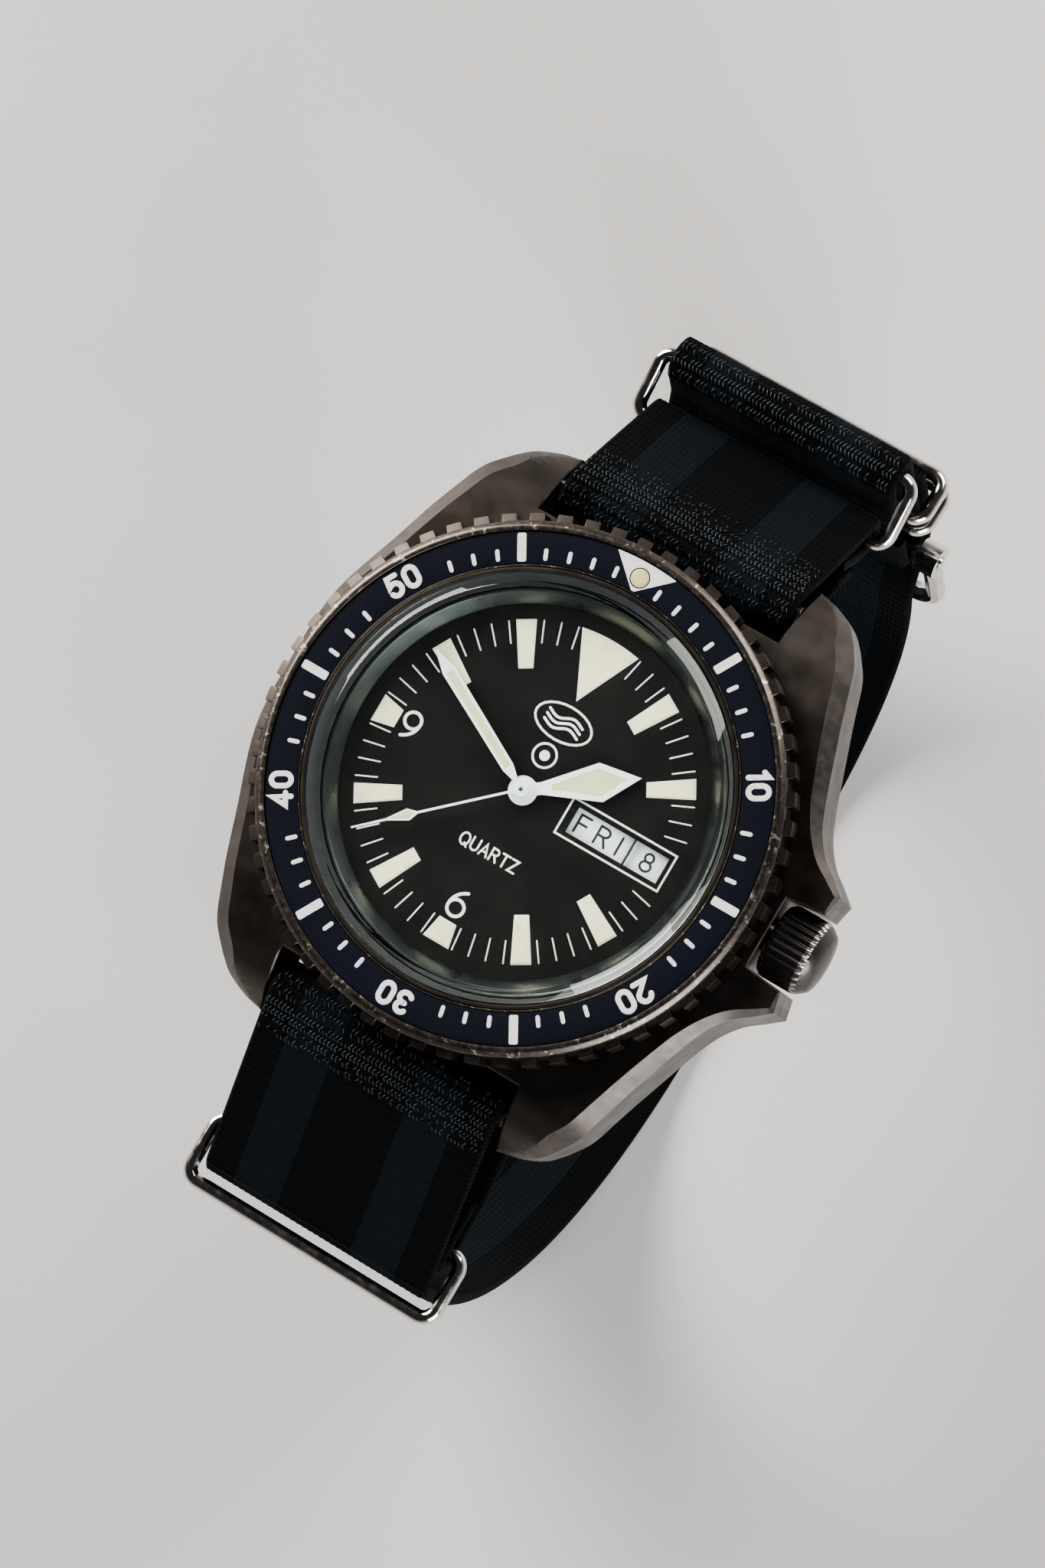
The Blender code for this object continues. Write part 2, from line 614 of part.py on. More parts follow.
def make_hands():
    """Kite hour hand, sword minute hand and lollipop-kite seconds hand."""
    hour = HOUR_HAND_LENGTH
    minute = MINUTE_HAND_LENGTH
    second = SECONDS_HAND_LENGTH
    hub = arc((0, 0), 1.1, 60, -240, 14)
    outline = hub + [(-0.45, 1.3), (-1.45, 0.66 * hour), (0, hour), (1.45, 0.66 * hour), (0.45, 1.3)]
    lay_hand("hour_hand", outline, HOUR_HAND_Z, HOUR_ANGLE, HOUR_TUBE + 0.01)
    hub = arc((0, 0), 0.85, 62, -242, 12)
    outline = hub + [(-0.35, 1.0), (-0.45, 1.9), (-0.53, 0.84 * minute), (0, minute),
                     (0.53, 0.84 * minute), (0.45, 1.9), (0.35, 1.0)]
    lay_hand("minute_hand", outline, MINUTE_HAND_Z, MINUTE_ANGLE, MINUTE_TUBE + 0.01)
    hub = arc((0, 0), 0.6, 80, -260, 12)
    outline = hub + [(-0.09, 0.7), (-0.09, 0.61 * second), (-0.45, 0.66 * second),
                     (-0.09, 0.79 * second), (-0.07, second), (0.07, second),
                     (0.09, 0.79 * second), (0.45, 0.66 * second), (0.09, 0.61 * second),
                     (0.09, 0.7)]
    lay_hand("seconds_hand", outline, SECONDS_HAND_Z, SECONDS_ANGLE, SECONDS_ARBOR + 0.01)


def lay_hand(name, outline, top, angle, hole):
    """A flat hand at its clock angle, with the hole that its wheel's tube fills."""
    turned_outline = turn_outline(outline[::-1], angle)
    plate(name, [turned_outline, circle(hole, 12)], top, top - HAND_THICKNESS, WHITE)


# ---------------------------------------------------------------- crown
def make_crown():
    """Fluted crown on a tube, with its gasket, stem, clutch wheel and setting lever."""
    start = CASE_SIDE - 0.1
    end = start + CROWN_LENGTH
    barrel = CROWN_LENGTH - 1.1
    profile = [(0, CROWN_LENGTH), (0.45 * CROWN_RADIUS, CROWN_LENGTH - 0.12),
               (0.8 * CROWN_RADIUS, CROWN_LENGTH - 0.55), (0.93 * CROWN_RADIUS, barrel),
               (0.93 * CROWN_RADIUS, 0), (CROWN_BORE, 0), (CROWN_BORE, 2.2),
               (STEM_RADIUS + 0.01, 2.2), (STEM_RADIUS + 0.01, 3.2), (0, 3.2)]
    crown = turned("crown", profile, STEEL, segments=24, closed=False)
    flutes = toothed(CROWN_FLUTES, 0.96 * CROWN_RADIUS, 0.08 * CROWN_RADIUS, 0.55)
    band = plate("crown_band", [flutes, circle(0.8 * CROWN_RADIUS, 24)], barrel - 0.15, 0.25)
    for piece in (crown, band):
        piece.matrix_parent_inverse = Matrix.Identity(4)
        piece.rotation_euler = (0, math.radians(90), 0)
        piece.location = Vector((start, 0, CROWN_Z)) * MM
    join(crown, band)
    tube = ring("crown_tube", TUBE_OUTER, TUBE_INNER, 1.9, -3.4, STEEL, segments=20)
    gasket = ring("crown_gasket", CROWN_BORE - 0.02, TUBE_OUTER + 0.02, 0.7, 0.3, RUBBER,
                  segments=20)
    for piece in (tube, gasket):
        piece.rotation_euler = (0, math.radians(90), 0)
        piece.location = Vector((start, 0, CROWN_Z)) * MM
    inner = STEM_INNER
    groove = inner + 2.2
    profile = [(0, start + 3.15), (STEM_RADIUS, start + 3.15), (STEM_RADIUS, groove + 0.9),
               (0.35, groove + 0.9), (0.35, groove), (STEM_RADIUS, groove),
               (STEM_RADIUS, inner + 1.4), (0.3, inner + 1.4), (0.3, inner), (0, inner)]
    stem = turned("stem", profile, POLISHED, (0, 0, CROWN_Z), 14, closed=False)
    stem.rotation_euler = (0, math.radians(90), 0)
    teeth = toothed(12, 0.85, 0.2)
    clutch = plate("clutch_wheel", [teeth, circle(0.32, 12)], inner + 1.0, inner + 0.2, BRASS)
    clutch.rotation_euler = (0, math.radians(90), 0)
    clutch.location = Vector((0, 0, CROWN_Z)) * MM
    middle = groove + 0.45
    arm = [(middle - 0.3, 0.12), (middle + 0.3, 0.12), (middle + 0.35, LEVER_ARM - 0.6),
           (middle + 0.75, LEVER_ARM), (middle + 0.3, LEVER_ARM + 1.6),
           (middle - 0.3, LEVER_ARM + 1.6), (middle - 0.75, LEVER_ARM), (middle - 0.35, LEVER_ARM - 0.6)]
    lever = plate("setting_lever", [arm, circle(0.32, 12, (middle, LEVER_ARM))],
                  CROWN_Z + 0.95, CROWN_Z + 0.65, POLISHED)
    join(lever, rod("lever_finger", 0.28, (middle, 0, CROWN_Z + 0.8), (middle, 0, CROWN_Z + 0.4),
                    segments=10))


# ---------------------------------------------------------------- movement
def wheel(name, center, teeth, module, top, pinion=None, arbor=None, finish=BRASS, depth=None):
    """A toothed wheel, with a pinion (teeth, module, top, base) and an arbor (radius, top, base)."""
    base = top - (depth or WHEEL_THICKNESS)
    body = plate(name, [pointed(teeth, teeth * module / 2, module)], top, base, finish,
                 (*center, 0))
    if arbor:
        join(body, disc(name + "_arbor", arbor[0], arbor[1], arbor[2], center=(*center, 0),
                        segments=12))
    if pinion:
        count, fine, high, low = pinion
        outline = pointed(count, count * fine / 2, fine, math.pi / count)
        join(body, plate(name + "_pinion", [outline], high, low, center=(*center, 0)))
    return body


def bore(obj, radius, top, base, center=(0, 0)):
    """Cut a round hole along Z."""
    cut(obj, disc(obj.name + "_bore", radius, top, base, center=(*center, 0), segments=14))


def make_train():
    """Stepping rotor to seconds, minutes and hours, all at their real ratios."""
    foot = BRIDGE_TOP + 0.03
    head = PLATE_BASE - 0.03
    second_z = PLATE_BASE - 1.65
    third_z = second_z + 0.5
    centre_z = third_z + 0.9
    fine = THIRD_SPAN / 36
    seconds = wheel("seconds_wheel", (0, 0), 36, MODULE, second_z,
                    (8, MODULE, third_z + 0.1, second_z - 0.05),
                    (SECONDS_ARBOR, SECONDS_HAND_Z + 0.02, foot))
    smooth(seconds)
    wheel("third_wheel", (0, -THIRD_SPAN), 60, MODULE, third_z,
          (8, fine, centre_z + 0.05, third_z - 0.05), (SECONDS_ARBOR, head, foot))
    centre = wheel("centre_wheel", (0, 0), 64, fine, centre_z,
                   arbor=(MINUTE_TUBE, MINUTE_HAND_Z + 0.02, centre_z - 0.25))
    motion_z = PLATE_TOP + 0.2
    cannon = pointed(12, 12 * MODULE / 2, MODULE)
    join(centre, plate("cannon_pinion", [cannon], motion_z, motion_z - 0.16))
    bore(centre, SECONDS_ARBOR + SLIP, 0, -9)
    span = 24 * MODULE
    small = span / 25
    hour_z = motion_z + 0.22
    wheel("minute_wheel", (0, span), 36, MODULE, motion_z,
          (10, small, hour_z, motion_z - 0.05), (0.2, hour_z, PLATE_TOP + 0.02), depth=0.16)
    hour = wheel("hour_wheel", (0, 0), 40, small, hour_z,
                 arbor=(HOUR_TUBE, HOUR_HAND_Z + 0.02, hour_z - 0.1), depth=0.16)
    bore(hour, MINUTE_TUBE + SLIP, 0, -9)
    x, y = clock(235, 60 * small)
    wheel("date_wheel", (x, y), 80, small, hour_z, arbor=(0.3, hour_z, PLATE_TOP + 0.02),
          depth=0.16)
    step_x, step_y = clock(300, 21 * MODULE)
    wheel("intermediate_wheel", (step_x, step_y), 30, MODULE, second_z - 0.35,
          (6, MODULE, second_z + 0.05, second_z - 0.4), (0.12, second_z + 0.9, foot))
    x, y = clock(300, 39 * MODULE)
    rotor = disc("rotor", 0.75, third_z + 0.35, third_z - 0.45, POLISHED, (x, y, 0), 20)
    join(rotor, disc("rotor_arbor", 0.12, head, foot, center=(x, y, 0), segments=10),
         plate("rotor_pinion", [pointed(6, 3 * MODULE, MODULE, math.pi / 6)], second_z - 0.3,
               second_z - 0.6, center=(x, y, 0)))


def make_motor():
    """Stator plate with the rotor's hole, and the coil across its legs."""
    top = PLATE_BASE - 1.0
    x, y = clock(300, 39 * MODULE)
    outline = [(x + 1.1, y - 1.25), (x + 1.1, y + 1.05), (x + 6.2, y + 4.45), (x + 6.2, y + 6.65),
               (x + 4.9, y + 6.65), (x + 4.9, y + 5.2), (x - 0.1, y + 2.0), (x - 3.1, y + 5.2),
               (x - 3.1, y + 6.65), (x - 4.4, y + 6.65), (x - 4.4, y + 4.45), (x - 1.2, y + 1.0),
               (x - 1.2, y - 1.25)]
    plate("stator", [outline, circle(0.95, 20, (x, y))], top, top - 0.3, POLISHED)
    start, length = x - 4.2, 10.2
    flange = 1.3
    profile = [(0, length), (0.45, length), (0.45, length - flange), (1.05, length - flange),
               (1.05, flange), (0.45, flange), (0.45, 0), (0, 0)]
    coil = turned("coil", profile, ((0.55, 0.25, 0.1), 0.35, 1.0),
                  (start, y + 6.1, top - 0.3 - 0.5), 16, closed=False)
    coil.rotation_euler = (0, math.radians(90), 0)


def make_plates():
    """Main plate with its posts, train bridge, screws and the holder ring."""
    plate_obj = disc("main_plate", PLATE_RADIUS, PLATE_TOP, PLATE_BASE, BRASS, segments=48)
    lever_x = STEM_INNER + 2.65
    post = disc("lever_post", 0.27, PLATE_BASE + 0.2, CROWN_Z + 0.6,
                center=(lever_x, LEVER_ARM, 0), segments=10)
    join(plate_obj, post)
    posts = (clock(46.6, 4.95), clock(287.6, 6.6), clock(214.7, 6.3))
    outline = [(4.7, 2.6), (4.7, 4.2), (3.6, 4.6), (-2.0, 4.2), (-6.2, 3.2), (-7.4, 2.4),
               (-7.4, 1.2), (-4.6, -2.2), (-4.8, -5.4), (-3.6, -6.3), (0.6, -5.4), (2.4, -2.2)]
    bridge = plate("train_bridge", [outline], BRIDGE_TOP, BRIDGE_BASE, POLISHED)
    for i, (x, y) in enumerate(posts):
        post = disc("post_%d" % i, 0.8, PLATE_BASE + 0.2, BRIDGE_TOP + 0.02, center=(x, y, 0),
                    segments=14)
        join(plate_obj, post)
        hole = disc("screw_hole_%d" % i, 0.38, BRIDGE_TOP + 1.2, BRIDGE_BASE - 1,
                    center=(x, y, 0), segments=10)
        cut(plate_obj, hole)
        cut(bridge, hole)
        profile = [(0, BRIDGE_TOP + 1.1), (0.35, BRIDGE_TOP + 1.1), (0.35, BRIDGE_BASE - 0.02),
                   (0.7, BRIDGE_BASE - 0.02), (0.7, BRIDGE_BASE - 0.4), (0, BRIDGE_BASE - 0.4)]
        turned("bridge_screw_%d" % (i + 1), profile, POLISHED, (x, y, 0), 10, closed=False)
    bore(plate_obj, MINUTE_TUBE + 0.12, 0, -9)
    holder = ring("movement_holder", BORE_RADIUS - FIT, PLATE_RADIUS + FIT, DIAL_BASE - 0.05,
                  BACK_TOP + 0.15, ((0.75, 0.75, 0.72), 0.6), segments=40)
    cut(holder, rod("holder_slot", 1.0, (PLATE_RADIUS - 2, 0, CROWN_Z),
                    (BORE_RADIUS + 2, 0, CROWN_Z), segments=14))


def make_power():
    """Battery with its clamp, circuit board and the quartz can."""
    x, y = clock(135.9, 8.9)
    high = PLATE_BASE - 0.65
    low = high - BATTERY_HEIGHT
    r = BATTERY_RADIUS
    profile = [(0, high), (r - 0.6, high), (r - 0.6, high - 0.3), (r, high - 0.4), (r, low),
               (0, low)]
    turned("battery", profile, POLISHED, (x, y, 0), 28, closed=False)
    arm = [(x - 4.6, y + 2.4), (x - 3.6, y + 3.6), (x + 1.9, y - 0.9), (x + 0.6, y - 2.1)]
    plate("battery_clamp", [arm], low - 0.1, low - 0.3, POLISHED)
    board = [(-11.0, -1.2), (-5.4, -2.4), (-5.6, -7.0), (-7.5, -9.2), (-10.2, -6.8), (-11.8, -3.0)]
    top = PLATE_BASE - 2.05
    circuit = plate("circuit_board", [board], top, top - 0.2, ((0.03, 0.15, 0.06), 0.4))
    join(circuit, box("chip", (-7.2, -6.2, top - 0.8), (-5.9, -4.6, top - 0.1)))
    rod("quartz_can", 0.75, (-8.8, -2.4, top + 0.8), (-8.8, -7.0, top + 0.8), POLISHED)


# ---------------------------------------------------------------- strap
def tangent_arcs(first, first_radius, second, second_radius):
    """Angle of the outward normal of the line that runs over both circles' same side."""
    (y0, z0), (y1, z1) = first, second
    span = math.hypot(y1 - y0, z1 - z0)
    along = math.atan2(z1 - z0, y1 - y0)
    lean = math.asin((first_radius - second_radius) / span)
    side = 1 if y1 > y0 else -1
    return math.degrees(along + side * (math.pi / 2 - lean)) % 360


def bezier(start, start_handle, end_handle, end, count):
    """Points along one cubic curve, without its first point."""
    points = []
    for i in range(1, count + 1):
        t = i / count
        u = 1 - t
        weights = (u ** 3, 3 * u * u * t, 3 * u * t * t, t ** 3)
        corners = (start, start_handle, end_handle, end)
        points.append(tuple(sum(w * c[k] for w, c in zip(weights, corners)) for k in (0, 1)))
    return points


def band(name, path, thickness, finish=FABRIC):
    """A flat strip along a (y, z) path, across the strap's width."""
    outer, inner = [], []
    for i, here in enumerate(path):
        before, after = path[max(i - 1, 0)], path[min(i + 1, len(path) - 1)]
        dy, dz = after[0] - before[0], after[1] - before[1]
        length = math.hypot(dy, dz)
        ny, nz = -dz / length * thickness / 2, dy / length * thickness / 2
        outer.append((here[0] + ny, here[1] + nz))
        inner.append((here[0] - ny, here[1] - nz))
    half = STRAP_WIDTH / 2
    return lay_on_side(plate(name, [outer + inner[::-1]], half, -half, finish))


def buckle_point(down, out):
    """A point in the buckle's own frame: down along the strap, out from the wrist."""
    tilt = math.radians(BUCKLE_TILT)
    y = BUCKLE_Y - down * math.sin(tilt) + out * math.cos(tilt)
    z = -BUCKLE_DROP - down * math.cos(tilt) - out * math.sin(tilt)
    return (y, z)


def unit(angle):
    """A (y, z) direction from an angle in degrees."""
    return (math.cos(math.radians(angle)), math.sin(math.radians(angle)))


def shifted(point, *moves):
    """A (y, z) point moved by (distance, direction) pairs."""
    y, z = point
    for distance, (dy, dz) in moves:
        y, z = y + distance * dy, z + distance * dz
    return (y, z)


def run_normal():
    """Outward angle of the straight run between ring 12's far bar and the buckle bar."""
    y, z = buckle_point(0, 0)
    return math.degrees(math.atan2(z - RING12_FAR[1], y - RING12_FAR[0])) + 90


def long_strap_path():
    """Middle line of the long strap, from its sewn tab at ring 12 to its free tail.

    Returns the path and the index of the point where the buckle's tongue goes through."""
    bar12, bar6 = (BAR_Y, BAR_Z), (-BAR_Y, BAR_Z)
    round_bar = BAR_RADIUS + WRAP
    leave = tangent_arcs(bar12, round_bar, RING12_NEAR, STRAP_MIDDLE)
    tab = shifted(RING12_NEAR, (STRAP_MIDDLE, unit(leave - 180)))
    path = [shifted(tab, (4.5, unit(leave + 90)), (0.9, unit(leave))),
            shifted(tab, (1.2, unit(leave + 90)), (0.1, unit(leave)))]
    path += arc(RING12_NEAR, STRAP_MIDDLE, leave - 180, leave, 10)
    path += arc(bar12, round_bar, leave, 180, 9)
    turn = 2.6
    inner = BAR_Y - round_bar - turn
    path += arc((inner, UNDER_Z + turn), turn, 0, -90, 6)
    path += arc((-inner, UNDER_Z + turn), turn, -90, -180, 6)
    corner = (HANG_6 + 1.3, RING6_NEAR[1] + 0.2)
    leave = tangent_arcs(bar6, round_bar, corner, 1.3)
    path += arc(bar6, round_bar, 0, leave, 7)
    path += arc(corner, 1.3, leave, 180, 5)
    path += bezier(path[-1], (HANG_6 - 2.2, path[-1][1] - 26), (-LOOP_FLAT - 18, REST_Z),
                   (-LOOP_FLAT, REST_Z), 14)
    path.append((LOOP_FLAT, REST_Z))
    low = -0.25
    high = STRAP_MIDDLE + STRAP_THICKNESS + 0.1
    cross = BUCKLE_LENGTH
    path += bezier(path[-1], (LOOP_FLAT + 12, REST_Z), buckle_point(cross + 9, low),
                   buckle_point(cross, low), 9)
    through = len(path) + 4
    path += bezier(path[-1], buckle_point(cross - 4.5, low), buckle_point(4.5, high),
                   buckle_point(0, high), 9)
    normal = run_normal()
    path += arc(buckle_point(0, 0), high, -BUCKLE_TILT, normal, 3)[1:]
    path.append(shifted(path[-1], (TAIL_LENGTH, unit(normal + 90))))
    return path, through


def step_back(path, index, distance):
    """The point and direction a distance back along a path."""
    here = path[index]
    while distance > 0:
        before = path[index - 1]
        length = math.hypot(here[0] - before[0], here[1] - before[1])
        if length >= distance:
            share = distance / length
            here = tuple(h + (b - h) * share for h, b in zip(here, before))
            break
        distance -= length
        index -= 1
        here = before
    ahead, behind = path[index], path[index - 1]
    return here, math.degrees(math.atan2(ahead[1] - behind[1], ahead[0] - behind[0]))


def punch(strap, name, point, heading, radius):
    """A round hole straight through the strap at a path point."""
    out = unit(heading + 90)
    first = shifted(point, (STRAP_THICKNESS, out))
    last = shifted(point, (-STRAP_THICKNESS, out))
    cut(strap, rod(name, radius, (0, *first), (0, *last), segments=12))


def make_long_strap():
    path, through = long_strap_path()
    strap = band("long_strap", path, STRAP_THICKNESS)
    for i in range(3):
        point, heading = step_back(path, through, 1.0 - 0.8 * i)
        punch(strap, "tongue_slot_%d" % i, point, heading, TONGUE_RADIUS + 0.4)
    for i in range(SPARE_HOLES):
        point, heading = step_back(path, through, HOLE_SPACING * (i + 1.5))
        punch(strap, "spare_hole_%d" % i, point, heading, 0.8)


def make_short_straps():
    """The under-strap between the rings and the strap that carries the buckle."""
    thin = STRAP_THICKNESS - 0.1
    low = UNDER_Z - STRAP_THICKNESS / 2 - 0.1 - thin / 2
    around = WIRE_RADIUS + SLIP + thin / 2
    y6, z6 = RING6_NEAR
    y12, z12 = RING12_NEAR
    path = [(y12 - 2.8, z12 - 0.4), (y12 - 4.2, z12 + 1.5), (y12 - 6.2, z12 + 2.5),
            (BAR_Y - 1.5, low - 0.05), (BAR_Y - 5, low), (5 - BAR_Y, low), (-BAR_Y, low - 0.5),
            (y6 + 4.5, z6 - around + 0.25)]
    path += arc((y6, z6), around, 270, 90, 10)
    path.append((y6 + 4.2, z6 + around + 0.2))
    band("under_strap", path, thin)
    normal = run_normal()
    hinge = buckle_point(0, 0)
    start = shifted(RING12_FAR, (STRAP_MIDDLE, unit(180)))
    path = [shifted(start, (7.0, (0, -1)), (3.2, (-1, 0))),
            shifted(start, (5.4, (0, -1)), (1.9, (-1, 0))),
            shifted(start, (3.2, (0, -1)), (0.6, (-1, 0)))]
    path += arc(RING12_FAR, STRAP_MIDDLE, 180, normal, 10)
    path += arc(hinge, STRAP_MIDDLE, normal, normal - 180, 10)
    path.append(shifted(path[-1], (5.0, unit(normal + 90))))
    strap = band("buckle_strap", path, STRAP_THICKNESS)
    y, z = hinge
    cut(strap, box("tongue_gap", (-1.6, y - 2.6, z - 3), (1.6, y + 2.6, z + 2.6)))


def ring_route(first, second):
    """A rounded rectangle through two bars' centres, as 3-D points."""
    half = STRAP_WIDTH / 2 + 0.5 + WIRE_RADIUS
    span = math.hypot(second[0] - first[0], second[1] - first[1])
    along = ((second[0] - first[0]) / span, (second[1] - first[1]) / span)
    bend = 1.1
    flat = []
    for cx, cs, start in ((half - bend, bend, -90), (half - bend, span - bend, 0),
                          (bend - half, span - bend, 90), (bend - half, bend, 180)):
        flat += arc((cx, cs), bend, start, start + 90, 4)
    return [(x, *shifted(first, (s, along))) for x, s in flat]


def make_rings():
    wire("ring_12", ring_route(RING12_NEAR, RING12_FAR), WIRE_RADIUS, POLISHED, cyclic=True)
    wire("ring_6", ring_route(RING6_NEAR, RING6_FAR), WIRE_RADIUS, POLISHED, cyclic=True)
    normal = run_normal()
    up, out = unit(normal + 90), unit(normal)
    middle = STRAP_MIDDLE + STACK / 2
    for name, height in KEEPER_HEIGHTS:
        at = shifted(buckle_point(0, 0), (height, up), (middle, out))
        half = KEEPER_SPAN / 2
        route = ring_route(shifted(at, (-half, out)), shifted(at, (half, out)))
        wire(name, route, WIRE_RADIUS, POLISHED, cyclic=True)


def make_buckle():
    """U-shaped wire frame, its bar and the bent tongue."""
    half = STRAP_WIDTH / 2 + 0.6 + BUCKLE_WIRE
    rise = -0.25 + STRAP_THICKNESS / 2 + 0.1 + BUCKLE_WIRE
    long = BUCKLE_LENGTH
    bend = 2.0
    flat = [(half, 0.6)] + arc((half - bend, long - bend), bend, 0, 90, 5)
    flat += arc((bend - half, long - bend), bend, 90, 180, 5) + [(-half, 0.6)]
    route = [(x, *buckle_point(s, rise * min(1, max(0, s - 1) / 6))) for x, s in flat]
    route.insert(1, (half, *buckle_point(4.5, rise * 0.55)))
    route.insert(-1, (-half, *buckle_point(4.5, rise * 0.55)))
    frame = wire("buckle_frame", route, BUCKLE_WIRE, POLISHED)
    hinge = buckle_point(0, 0)
    for side in (-1, 1):
        x = side * half
        ear = rod("buckle_ear_%s" % ("l" if side < 0 else "r"), 1.35,
                  (x - BUCKLE_WIRE - 0.1, *hinge), (x + BUCKLE_WIRE + 0.1, *hinge))
        join(frame, ear)
    cut(frame, rod("buckle_bore", WIRE_RADIUS + 0.02, (-half - 3, *hinge), (half + 3, *hinge)))
    rod("buckle_bar", WIRE_RADIUS, (-half - 1.1, *hinge), (half + 1.1, *hinge), POLISHED)
    rest = rise + BUCKLE_WIRE + SLIP + TONGUE_RADIUS
    path = [(0.9, 0.1), (3.7, 0.15), (4.6, 0.45), (6.3, rest - 0.3), (7.1, rest), (long + 1.2, rest)]
    route = [(0, *buckle_point(s, n)) for s, n in path]
    tongue = wire("buckle_tongue", route, TONGUE_RADIUS, POLISHED)
    join(tongue, rod("tongue_hub", 1.15, (-1.1, *hinge), (1.1, *hinge)))
    cut(tongue, rod("tongue_bore", WIRE_RADIUS + 0.03, (-2, *hinge), (2, *hinge)))


def make_strap_bars():
    for name, side in (("strap_bar_12", 1), ("strap_bar_6", -1)):
        y = side * BAR_Y
        tip = LUG_INNER + 1.2
        bar = rod(name, BAR_RADIUS, (0.15 - LUG_INNER, y, BAR_Z), (LUG_INNER - 0.15, y, BAR_Z),
                  POLISHED)
        join(bar, rod(name + "_tips", BAR_TIP_RADIUS, (-tip, y, BAR_Z), (tip, y, BAR_Z),
                      segments=12))


def weld_seams():
    """Close the hairline splits that Booleans leave where pieces share a seam."""
    for obj in PARTS.objects:
        if any(modifier.type == "BOOLEAN" for modifier in obj.modifiers):
            seam = obj.modifiers.new("seam", "WELD")
            seam.merge_threshold = SEAM


def main():
    start_scene()
    make_case()
    make_caseback()
    make_crystal()
    make_bezel()
    make_dial()
    make_hands()
    make_crown()
    make_train()
    make_motor()
    make_plates()
    make_power()
    make_strap_bars()
    make_long_strap()
    make_short_straps()
    make_rings()
    make_buckle()
    weld_seams()


main()
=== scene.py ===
"""Looks of the dive watch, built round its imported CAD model.

Lengths are in millimetres in the watch head's own frame until a mesh is made: +X to the crown,
+Y to 12 o'clock, +Z out of the dial, and z = 0 at the top of the bezel insert.
"""
import math
import random

import bmesh
import bpy
import numpy as np
from mathutils import Matrix, Vector

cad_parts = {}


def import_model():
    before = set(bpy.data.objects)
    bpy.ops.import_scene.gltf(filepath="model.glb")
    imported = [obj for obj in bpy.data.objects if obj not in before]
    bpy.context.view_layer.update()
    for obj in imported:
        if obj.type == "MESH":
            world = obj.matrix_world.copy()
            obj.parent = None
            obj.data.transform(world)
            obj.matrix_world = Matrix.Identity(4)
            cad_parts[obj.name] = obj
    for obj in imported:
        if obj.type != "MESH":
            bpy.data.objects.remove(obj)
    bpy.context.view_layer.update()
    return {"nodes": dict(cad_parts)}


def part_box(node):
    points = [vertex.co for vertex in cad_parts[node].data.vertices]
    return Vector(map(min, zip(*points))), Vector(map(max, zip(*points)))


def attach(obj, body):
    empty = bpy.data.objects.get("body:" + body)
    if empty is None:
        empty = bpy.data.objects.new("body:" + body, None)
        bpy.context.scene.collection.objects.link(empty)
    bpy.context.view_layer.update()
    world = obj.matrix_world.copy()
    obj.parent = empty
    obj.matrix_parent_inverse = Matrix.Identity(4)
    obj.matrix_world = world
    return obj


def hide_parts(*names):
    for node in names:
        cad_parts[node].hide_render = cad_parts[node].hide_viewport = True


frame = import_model()

MM = 0.001
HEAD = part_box("bezel_insert")[1].z


def span(node):
    """A node's lowest and highest corners in head millimetres."""
    low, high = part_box(node)
    return (low - Vector((0, 0, HEAD))) / MM, (high - Vector((0, 0, HEAD))) / MM


# ---------------------------------------------------------------- sizes read from the frame
INSERT_OUTER = span("bezel_insert")[1].x
INSERT_INNER = INSERT_OUTER - 2.5
BEZEL_BASE, (BEZEL_RADIUS, _, BEZEL_TOP) = span("bezel_ring")[0].z, span("bezel_ring")[1]
RIM_RADIUS = BEZEL_RADIUS - 0.6
CRYSTAL_BASE, (CRYSTAL_RADIUS, _, CRYSTAL_TOP) = span("crystal")[0].z, span("crystal")[1]
BORE = CRYSTAL_RADIUS - 0.9
DIAL_TOP = span("dial")[1].z
CASE_LOW, CASE_HIGH = span("case")
CASE_SIDE = -CASE_LOW.x
LUG_TIP = CASE_HIGH.y
DECK_Z = BEZEL_BASE - 0.3
BELLY_Z = DECK_Z - 7.1
BACK_Z = span("caseback")[0].z
BAR_LOW, BAR_HIGH = span("strap_bar_12")
BAR_Y, BAR_Z = (BAR_LOW.y + BAR_HIGH.y) / 2, (BAR_LOW.z + BAR_HIGH.z) / 2
BAR_RADIUS = (BAR_HIGH.y - BAR_LOW.y) / 2
STRAP_WIDTH = span("long_strap")[1].x * 2
STRAP_THICKNESS = 1.2
LOOP_BASE = span("long_strap")[0].z
WIRE = 0.575
CROWN_LOW, CROWN_HIGH = span("crown")
CROWN_RADIUS = (CROWN_HIGH.z - CROWN_LOW.z) / 2
CROWN_Z = (CROWN_HIGH.z + CROWN_LOW.z) / 2
DISC_TOP = span("day_disc")[1].z
HOUR_ANGLE, MINUTE_ANGLE, SECONDS_ANGLE = 54.8, 297.8, 228.0


